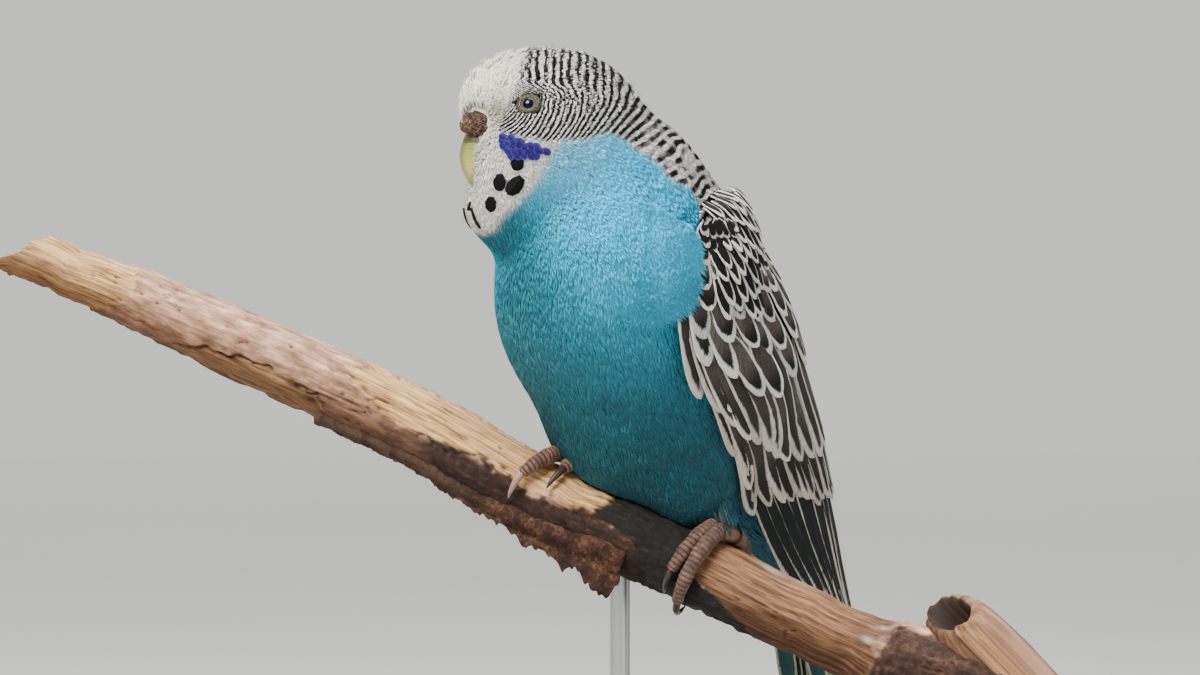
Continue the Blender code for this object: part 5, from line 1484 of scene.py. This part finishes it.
def dress_feet():
    scaly, horn = scaly_finish(), claw_finish()
    for side_name, foot in FEET.items():
        at = foot["at"]
        place, radius, along, up, side = perch_axis(at)
        centre = place + up * (radius + PAD_HALF[2] + GAP) + along * 0.4
        parts, seams, blushes = [], [], []
        for toe, (start, end, tip, hug) in foot["toes"].items():
            rows, around = 110, 30
            share = np.linspace(0, 1, rows)
            middle = ((start[0] + end[0]) / 2, (start[1] + end[1]) / 2)
            steps = follow(np.array((start, middle, end), float), share)
            radii = np.interp(share, np.linspace(0, 1, len(TOE_RADII)), TOE_RADII)
            path = perch_point(at + steps[:, 0], steps[:, 1], radii + GAP)
            axis = perch_axis(at + steps[:, 0])[0]
            ups = unit(path - axis)
            length = np.linalg.norm(np.diff(path, axis=0), axis=-1).sum()
            scutes = max(round(length / 0.95), 6)
            phase = share * scutes
            dip = np.exp(-((phase - np.round(phase)) / 0.16) ** 2)
            turn = np.linspace(0, 2 * math.pi, around, endpoint=False)
            upper = 0.35 + 0.65 * np.clip(np.cos(turn) + 0.35, 0, 1)
            knuckle = 0.09 * np.cos(share * 2 * math.pi * 3)[:, None]
            girth = radii[:, None] * (1 + knuckle * 0.5) - 0.13 * dip[:, None] * upper[None]
            girth = girth + 0.05 * (noise(np.stack([share * 40 + at, share * 0], -1), 1.0)[:, None] - 0.5)
            pinch = np.sqrt(np.clip(1 - ((share - 0.94) / 0.06).clip(0, 1) ** 2, 0.10, 1))[:, None]
            rings, _ = swept(path, girth * pinch, ups, around)
            parts.append(tube_mesh(rings))
            seams.append(np.append((dip[:, None] * upper[None]).ravel(), (0, 0)))
            blushes.append(np.full(rows * around + 2, 0.5 if side_name == "right" else 0.12))
            claw_share = np.linspace(0, 1, 34)
            claw_steps = np.array(end) + (np.array(tip) - np.array(end)) * claw_share[:, None]
            claw_radii = np.interp(claw_share, np.linspace(0, 1, len(CLAW_RADII)), CLAW_RADII)
            height = claw_radii + GAP + 0.25 + 1.2 * (1 - hug) * np.sin(claw_share * math.pi)
            claw_path = perch_point(at + claw_steps[:, 0], claw_steps[:, 1], height)
            claw_path[0] += unit(claw_path[1] - claw_path[0]) * 0.05
            claw_up = unit(claw_path - perch_axis(at + claw_steps[:, 0])[0])
            claw_girth = claw_radii[:, None] * (0.92 + 0.10 * np.cos(np.linspace(0, 2 * math.pi, 24, endpoint=False)))
            claw_rings, _ = swept(claw_path, claw_girth, claw_up, 24)
            points, groups = tube_mesh(claw_rings)
            key = f"{side_name}_{toe}"
            lie = np.stack([np.append(np.tile(np.arange(24) * 0.3, 34), (0, 0)),
                            np.append(np.repeat(claw_share * 6, 24), (0, 0))], -1)
            pale = np.full(len(points), 1.0 if key in PALE_CLAWS else 0.0)
            made = add_piece("horn_claw_" + key, points, groups, horn, lie, {"pale": pale})
            turn_out(made)
            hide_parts("claw_" + key)
        polar = np.linspace(0.02, math.pi - 0.02, 40)[:, None]
        turn = np.linspace(0, 2 * math.pi, 60, endpoint=False)[None]
        shape = (np.cos(polar)[..., None] * up * PAD_HALF[2] + (np.sin(polar) * np.cos(turn))[..., None] * along * PAD_HALF[0]
                 + (np.sin(polar) * np.sin(turn))[..., None] * side * PAD_HALF[1])
        pad = centre + shape * (1 + 0.04 * (noise(centre + shape, 0.8, 6) - 0.5))[..., None]
        parts.append(tube_mesh(pad))
        seams.append(np.zeros(40 * 60 + 2))
        blushes.append(np.full(40 * 60 + 2, 0.3 if side_name == "right" else 0.1))
        points, groups = join_groups(parts)
        made = add_piece("scaly_foot_" + side_name, points, groups, scaly, None,
                         {"seam": np.concatenate(seams), "blush": np.concatenate(blushes)})
        turn_out(made)
        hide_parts("foot_" + side_name)
        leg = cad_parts["leg_" + side_name]
        leg.data.materials.clear()
        leg.data.materials.append(scaly)


# The branch. Edges of its surfaces as the photo shows them: turns by place across, or places across
# by turn.
BARK_LOW = ((-111, -95.5, -84.5, -78, -72, -67.5, -63.5, -58.5, -55.5), (127, 156, 118, 110, 97, 99, 101, 103, 138))
WEDGE_LOW = ((-55.5, -54.5, -49.5, -42.5, -35.5, -27.5, -16.5, -11, -3), (46, 53, 75, 94, 91, 78, 86, 75, 70))
WEDGE_HIGH = ((-55.5, -50, -44, -3), (38, 8, -20, -35))
BARK_LEFT = ((-180, -34, 56, 90, 132, 180), (-101, -104.5, -99, -99.5, -104, -108))
BURNT_LEFT = ((-180, -58, 29, 71, 76, 80, 86, 140, 180), (-8, -7.5, -1.5, -3.5, -0.5, 3, 5.5, 7.5, 7))
BURNT_RIGHT = ((-180, 11, 49, 90, 133, 160, 180), (13.5, 13.5, 13.5, 17, 27.5, 30, 30))
PITS = ((-89, 66, 0.5), (-66.5, 50, 0.5), (-54, 86, 0.5), (-25, 40, 0.5), (-26, 71, 1.0), (-22.5, 68, 0.8),
        (-93.5, 70, 0.4), (-31.5, 88, 0.7), (-63, 107, 1.6), (-59.5, 121, 1.8), (-56.5, 146, 1.5), (-97, 66, 0.4))
PALE_SPOTS = ((22.5, -33, 3.0), (33.5, -12, 3.4), (27, 8, 2.6), (41, -20, 2.0), (49, 62, 1.3), (50, 34, 1.6))


def dress_branch():
    """Perch with bark, bare wood, burnt bark, cracks and a torn end, and its hollow side stub."""
    rows, around = 560, 132
    turns = np.arange(around) * 360 / around
    left, right = PERCH_ENDS
    slant = left + 3.5 * np.cos(np.radians(turns)) - 6.5 * np.exp(-((turns - 122) / 14) ** 2)
    slant = slant + 0.8 * (noise(np.stack([turns / 9, turns * 0], -1), 1.0, 8) - 0.5)
    share = np.linspace(0, 1, rows)[:, None]
    across = slant + (right - slant) * share
    turn = np.where(turns > 180, turns - 360, turns)[None] + 0 * across
    field = np.stack([across, turn / 7.5], -1)
    wander = (noise(field, 3.0, 2) - 0.5) * 2.0 + (noise(field, 0.9, 3) - 0.5) * 1.3

    def within(inside, soft=0.22):
        return smooth(inside + wander, -soft, soft)

    below_bark = (turn - np.interp(across, *BARK_LOW)) / 7.5
    over_wedge_edge = (np.interp(across, *WEDGE_LOW) - turn) / 7.5
    under_wedge_top = (turn - np.interp(across, *WEDGE_HIGH)) / 7.5
    wedge = np.minimum(np.minimum(over_wedge_edge, under_wedge_top), np.minimum(across + 56, -2 - across))
    strip = np.minimum(below_bark, np.minimum(across + 96, -57 - across))
    wood = np.maximum(within(np.maximum(wedge, strip)), within(np.interp(turn, *BARK_LEFT) - across))
    burnt_left, burnt_right = np.interp(turn, *BURNT_LEFT), np.interp(turn, *BURNT_RIGHT)
    burnt = within(np.minimum(across - burnt_left, burnt_right - across), 0.5)
    brown = within(np.minimum(across - burnt_right + 1, 51 - across), 0.5)
    rust = within(np.minimum(-over_wedge_edge, np.minimum(across + 57, 10 - across)), 0.7)
    rust = rust * (0.25 + 0.75 * smooth(across + wander * 3, -54, -26))
    rust = np.maximum(rust, within(np.minimum(across - 52, np.where(turn > 0, turn - 20, -turn - 90) / 7.5), 0.8))
    # Painted shade together with soil: darker towards the underside, less on the bare wood of the left end, and a dark
    # band just left of the knot.
    soil = smooth(np.abs(turn) + wander * 7, 55, 128) * (1 - 0.6 * wood * smooth(across, -58, -56))
    soil = np.maximum(soil, 0.55 * smooth(np.abs(across - 49.5 + wander), 4.0, 1.5))
    rim = 4 * wood * (1 - wood)
    torn_edge = np.exp(-((below_bark + wander) / 0.45) ** 2) * smooth(across, -97, -90) * smooth(across, -54, -57)
    torn_edge = np.maximum(torn_edge, np.exp(-((over_wedge_edge + wander) / 0.40) ** 2)
                           * smooth(across, -53, -47) * smooth(across, -20, -24))
    torn_edge = torn_edge * smooth(noise(field, 5.0, 19), 0.28, 0.5)
    cracks = np.exp(-((noise(np.stack([across / 14, turn / 6], -1), 1.0, 9) - 0.5) / 0.014) ** 2)
    cracks = cracks * smooth(noise(field, 7.0, 10), 0.52, 0.70)
    ridges = noise(np.stack([across / 16, turn / 9], -1), 1.0, 11) - 0.5
    lumps = noise(field, 4.2, 12) - 0.5
    rough = noise(field, 1.1, 13) - 0.5
    char = np.abs(noise(np.stack([across / 2.2, turn / 8], -1), 1.0, 14) - 0.5)
    shade = np.clip(torn_edge + cracks * 0.7 + 0.5 * np.exp(-((across - burnt_left - 0.3 + wander) / 0.5) ** 2), 0, 1)
    for at, place, size in PITS:
        edge = 1 + 0.8 * (noise(field, 0.7, 20) - 0.5)
        hole = np.exp(-(((across - at) / size) ** 2 + ((turn - place) / (5.5 * size)) ** 2) * edge * 1.3)
        shade = np.maximum(shade, hole)
    pale = 0.0 * across
    for at, place, size in PALE_SPOTS:
        pale = np.maximum(pale, np.exp(-((across - at) / size) ** 2 - ((turn - place) / (4 * size)) ** 2))
    height = (-0.55 * wood + 0.25 * lumps + 0.16 * rough * (1 - 0.5 * wood) - 0.4 * cracks
              + 0.35 * ridges + burnt * (0.9 * char - 0.2) - 0.55 * shade + 0.5 * rust * (noise(field, 0.8, 25) - 0.5))
    height = height * (1 - 0.35 * brown) + 0.30 * brown * (noise(np.stack([across / 40, turn / 5], -1), 1.0, 15) - 0.5)
    under = smooth(np.abs(turn), 110, 165) * (1 - brown)
    height = height + under * 0.6 * (noise(field, 1.6, 16) - 0.4)
    knot = np.exp(-((across - 54) / 2.6) ** 2 - ((turn - 55) / 60) ** 2)
    height = height + knot * (0.5 + 1.2 * (noise(field, 1.0, 17) - 0.5))
    height = np.clip(height, -1.2, 0.9)
    rings = perch_point(across, turn, height)
    torn = 0.6 * (noise(np.stack([turns / 5, turns * 0 + 3], -1), 1.0, 18) - 0.5)
    rings[0] += perch_axis(left)[2] * torn[:, None]
    inner = [perch_point(slant[None] + depth, turn[:1], -cut)[0] for depth, cut in ((3.0, 1.7), (5.5, 3.6))]
    rings = np.concatenate([np.array(inner[::-1]), rings, perch_point(right, turn[:1], -4.0)])
    pad = lambda values, first, last: np.vstack([np.full((2, around), first), values, np.full((1, around), last)]).ravel()
    marks = {"wood": pad(wood, 0.9, 0.9), "brown": pad(brown, 0.0, 0.3), "burnt": pad(burnt, 0.0, 0.0),
             "rust": pad(rust, 0.0, 0.2), "soil": pad(soil, 0.2, 0.2), "pale": pad(pale, 0.0, 0.0),
             "shade": pad(shade, 0.35, 0.2)}
    lie = np.stack([pad(across, left, right), pad(turn / 7.5, 0, 0)], -1)
    parts = [tube_mesh(rings)]
    marks = {key: np.append(values, (values[0], values[-1])) for key, values in marks.items()}
    lie = np.vstack([lie, lie[:1], lie[-1:]])
    stub, stub_marks, stub_lie = stub_mesh()
    parts.append(stub)
    points, groups = join_groups(parts)
    marks = {key: np.append(values, stub_marks[key]) for key, values in marks.items()}
    made = add_piece("branch", points, groups, branch_finish(), np.vstack([lie, stub_lie]), marks)
    turn_out(made)
    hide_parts("perch_branch")


STUB_LINE = ((88.0, -30.5, -38.5), (64.3, -23.6, -14.3))
STUB_SECTIONS = ((0.02, 6.2, 0.0), (0.3, 6.6, 0.0), (0.7, 6.8, 0.8), (0.88, 6.4, 2.2), (0.96, 5.7, 3.2),
                 (1.0, 4.7, 3.7), (0.99, 3.5, 3.7), (0.94, 2.9, 3.4), (0.80, 2.4, 2.2), (0.66, 1.4, 0.0))


def stub_mesh():
    """Broken hollow side branch with a torn rim."""
    rows, around = 90, 96
    root, rim = np.array(STUB_LINE)
    along = rim - root
    length = np.linalg.norm(along)
    along = along / length
    over = unit(UP - along * along[2])
    side = np.cross(along, over)
    turn = np.linspace(0, 2 * math.pi, around, endpoint=False)
    circle = np.cos(turn)[:, None] * over + np.sin(turn)[:, None] * side
    slant = (circle @ np.array([0.0, -1.0, 0.25]))[:, None] * along
    share = np.linspace(0, 1, rows)
    sections = follow(STUB_SECTIONS, share)
    rings = []
    for at, radius, lean in sections:
        rough = noise(np.stack([turn * 3, turn * 0 + at * 9], -1), 1.0, 21) - 0.5
        streak = noise(np.stack([turn * 7, turn * 0 + at * 2], -1), 1.0, 22) - 0.5
        tear = (noise(np.stack([turn * 4, turn * 0], -1), 1.0, 23) - 0.5) * 0.7 * smooth(at, 0.93, 1.0)
        size = radius + 0.35 * rough + 0.15 * streak
        rings.append(root + along * (at * length + tear)[:, None] + circle * size[:, None] - slant * lean)
    rings = np.array(rings)
    inside = smooth(share, 0.60, 0.66)[:, None] + 0 * turn[None]
    low = np.cos(turn)[None] + 0.25 * (noise(np.stack([share[:, None] * 9 + 0 * turn[None], turn[None] * 2 + 0 * inside], -1), 1.0, 26) - 0.5)
    # Painted shade: the stub's underside is darkened through the rust, soil and shade marks.
    dark = smooth(low, -0.12, -0.34) * (1 - inside)
    bark = smooth(low, 0.45, 0.75) * (1 - inside)
    stripe = noise(np.stack([turn[None] * 4 + 0 * inside, share[:, None] * 4 + 0 * inside], -1), 1.0, 24)
    full = lambda values: np.append(values.ravel(), (values.ravel()[0], values.ravel()[-1]))
    marks = {"wood": full((0.95 - 0.3 * smooth(stripe, 0.5, 0.8)) * (1 - bark)), "brown": full(0.88 + 0.1 * inside - 0.5 * bark),
             "burnt": full(0 * inside), "rust": full(dark), "soil": full(0.35 * bark + 0.5 * dark),
             "pale": full(0 * inside), "shade": full(np.clip(0.93 * inside + 0.5 * smooth(low, -0.5, -0.9)
                                                            + np.exp(-((low + 0.2) / 0.07) ** 2) * 0.8, 0, 0.95))}
    lie = np.stack([full(share[:, None] * 18 + 0 * inside), full(turn[None] * 3.0 + 0 * inside)], -1)
    return tube_mesh(rings), marks, lie


BARK_STRETCH, BARK_THICKNESS = (-58.0, 4.0), 0.8


def dress_loose_bark():
    """Sheet of bark sprung from the front of the perch, with a ragged hanging edge."""
    columns, rows = 260, 26
    across = np.linspace(*BARK_STRETCH, columns)[:, None]
    coarse = noise(np.stack([across, across * 0], -1), 2.4, 31)
    fine = noise(np.stack([across, across * 0], -1), 0.55, 33) - 0.5
    upper = np.interp(across, (-58, -24, -8, 0, 4), (132, 122, 104, 92, 96)) + 8 * (coarse - 0.5)
    lower = upper + np.interp(across, (-58, -20, 4), (16, 30, 46))
    drop = np.interp(across, (-58, -36, -24, -12, -6, 0, 4), (0.1, 0.3, 1.1, 1.8, 3.4, 5.4, 2.4))
    drop = drop * (0.55 + 0.9 * coarse) + np.minimum(drop, 1.2) * fine
    out = perch_axis(across)[4] * 0.25
    share = np.linspace(0, 1, rows)[None]
    fold = np.clip(share / 0.62, 0, 1)
    hang = np.clip((share - 0.62) / 0.38, 0, 1)
    grids = []
    for lift, sign in ((GAP + BARK_THICKNESS, 1), (GAP, -1)):
        turn = upper + (lower - upper) * fold
        place = perch_point(across + 0 * fold, turn, (lift + 0.5 * fold + 1.0) * smooth(share, -0.05, 0.3) - 1.0)
        place = place + (out - UP) * (drop * hang)[..., None] * (1 + 0 * hang[..., None])
        crumple = noise(np.stack([across + 0 * share, turn / 7 + hang * 4], -1), 1.5, 34) - 0.5
        fine = noise(np.stack([across + 0 * share, turn / 7 + hang * 4], -1), 0.5, 35) - 0.5
        normal = unit(place - perch_axis(across + 0 * share)[0])
        grids.append(place + normal * (0.55 * crumple + 0.3 * fine * sign)[..., None] * smooth(share, 0.0, 0.2)[..., None])
    section = np.concatenate([grids[0], grids[1][:, ::-1]], 1)
    points, groups = tube_mesh(section)
    made = add_piece("loose_bark", points, groups, flake_finish())
    turn_out(made)
    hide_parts("perch_loose_bark")


def dress_stand():
    """Turned base of dark lacquered wood, and a brushed steel rod in a collar."""
    base_radius, height = 52.0, 12.0
    profile = [(0.001, 5.0), (2.3, 5.0), (2.3, height - 0.15), (2.5, height)]
    profile += [(radius, height + 0.0) for radius in (8, 30, 46.5)]
    profile += [(47.0, height - 0.25), (47.6, height - 0.25), (48.1, height)]
    profile += [(50.0 + 2.0 * math.sin(a), 10.0 + 2.0 * math.cos(a)) for a in np.linspace(0, math.pi / 2, 9)]
    profile += [(52.0, 5.2), (51.6, 4.8), (51.6, 4.2), (52.0, 3.8), (52.0, 0.6), (51.4, 0.0), (0.001, 0.0)]
    around = 160
    turn = np.linspace(0, 2 * math.pi, around, endpoint=False)
    rings = np.array([[(r * math.cos(a), r * math.sin(a), z - PERCH_HEIGHT) for a in turn] for r, z in profile])
    points, groups = tube_mesh(rings)
    made = add_piece("base", points, groups, lacquer_finish())
    made.data.set_sharp_from_angle(angle=math.radians(35))
    turn_out(made)
    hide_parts("stand_base")
    steel = steel_finish()
    low, high = 5.3 - PERCH_HEIGHT, -1.3
    levels = [(0.01, low), (2.0, low), (2.0, high - 0.3), (1.7, high), (0.01, high)]
    collar_low = 12.05 - PERCH_HEIGHT
    collar = [(2.02, collar_low), (4.4, collar_low), (4.4, collar_low + 2.2), (3.9, collar_low + 2.8), (2.02, collar_low + 2.8)]
    turn = np.linspace(0, 2 * math.pi, 64, endpoint=False)
    parts = []
    for rows in (levels, collar):
        rings = np.array([[(r * math.cos(a), r * math.sin(a), z) for a in turn] for r, z in rows])
        if rows is levels:
            parts.append(tube_mesh(rings))
        else:
            faces = grid_faces(len(rows) + 1, 64, True)
            faces = np.where(faces >= len(rows) * 64, faces - len(rows) * 64, faces)
            parts.append((rings.reshape(-1, 3), [faces]))
    points, groups = join_groups(parts)
    made = add_piece("rod", points, groups, steel)
    turn_out(made)
    made.data.set_sharp_from_angle(angle=math.radians(35))
    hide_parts("stand_rod")


BACKDROP_GLOW = (0.56, 0.56, 0.54)


def make_stage():
    """Pale floor that curves up into a backdrop far behind, evenly bright with distance."""
    made = Finish("backdrop", Roughness=0.9, Specular_IOR_Level=0.1, Emission_Strength=1.0)
    place = made.place()
    tone = made.grain(place, 3.0, 2.0)
    afar = place.part(1).size().step(0.4, 3.2)
    paper = made.finish(Base_Color=made.mix(tone, (0.48, 0.48, 0.46), (0.53, 0.53, 0.51)),
                        Emission_Color=made.mix(afar, (0.0, 0.0, 0.0), BACKDROP_GLOW))
    profile = [(-4.0, 0.0), (4.4, 0.0)]
    profile += [(4.4 + 0.7 * math.sin(a), 0.7 - 0.7 * math.cos(a)) for a in np.linspace(0.1, math.pi / 2, 14)]
    profile += [(5.1, 5.0)]
    mesh = bpy.data.meshes.new("floor")
    points = [(x, y, z) for y, z in profile for x in (-4.0, 4.0)]
    mesh.from_pydata(points, [], [(2 * i, 2 * i + 1, 2 * i + 3, 2 * i + 2) for i in range(len(profile) - 1)])
    mesh.materials.append(paper)
    mesh.shade_smooth()
    floor = bpy.data.objects.new("floor", mesh)
    bpy.context.scene.collection.objects.link(floor)


def add_light(name, place, aim, size, power, colour):
    light = bpy.data.lights.new(name, "AREA")
    light.shape, light.size, light.energy, light.color = "DISK", size, power, colour
    made = bpy.data.objects.new(name, light)
    bpy.context.scene.collection.objects.link(made)
    made.location = place
    way = np.array(aim) - np.array(place)
    made.rotation_euler = math.atan2(math.hypot(way[0], way[1]), -way[2]), 0, math.atan2(way[1], way[0]) - math.pi / 2


def make_lights_and_camera():
    aim = CAMERA_AIM
    add_light("key", (-0.70, -0.95, 1.30), aim, 0.8, 52, (1.0, 0.98, 0.95))
    add_light("fill", (1.1, -1.0, 0.5), aim, 1.0, 4, (0.93, 0.96, 1.0))
    add_light("top", (0.1, 0.15, 1.5), aim, 1.2, 38, (1.0, 1.0, 1.0))
    world = bpy.data.worlds.new("studio")
    bpy.context.scene.world = world
    world.use_nodes = True
    world.node_tree.nodes["Background"].inputs["Color"].default_value = (0.75, 0.77, 0.80, 1)
    world.node_tree.nodes["Background"].inputs["Strength"].default_value = 0.33
    camera = bpy.data.cameras.new("camera")
    camera.lens, camera.sensor_width = CAMERA_LENS, CAMERA_SENSOR
    camera.clip_start, camera.clip_end = 0.01, 20
    made = bpy.data.objects.new("camera", camera)
    bpy.context.scene.collection.objects.link(made)
    made.location = (aim[0], aim[1] - CAMERA_DISTANCE * math.cos(CAMERA_RISE),
                     aim[2] + CAMERA_DISTANCE * math.sin(CAMERA_RISE))
    made.rotation_euler = (math.pi / 2 - CAMERA_RISE, 0, 0)
    bpy.context.scene.camera = made


make_lights_and_camera()
make_stage()
skin = dress_skin()
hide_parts("head", "neck", "torso", "wing_left", "wing_right", "tail")
print("feathers and blades", dress_coat())
dress_wing("wing_feathers_left", 1)
dress_wing("wing_feathers_right", -1)
dress_mantle()
dress_shoulder("coat_shoulder_left", 1)
dress_shoulder("coat_shoulder_right", -1)
dress_tail()
dress_face()
dress_eyes()
dress_cere()
dress_bill()
dress_feet()
dress_thighs()
dress_branch()
dress_loose_bark()
dress_stand()
bpy.context.view_layer.update()
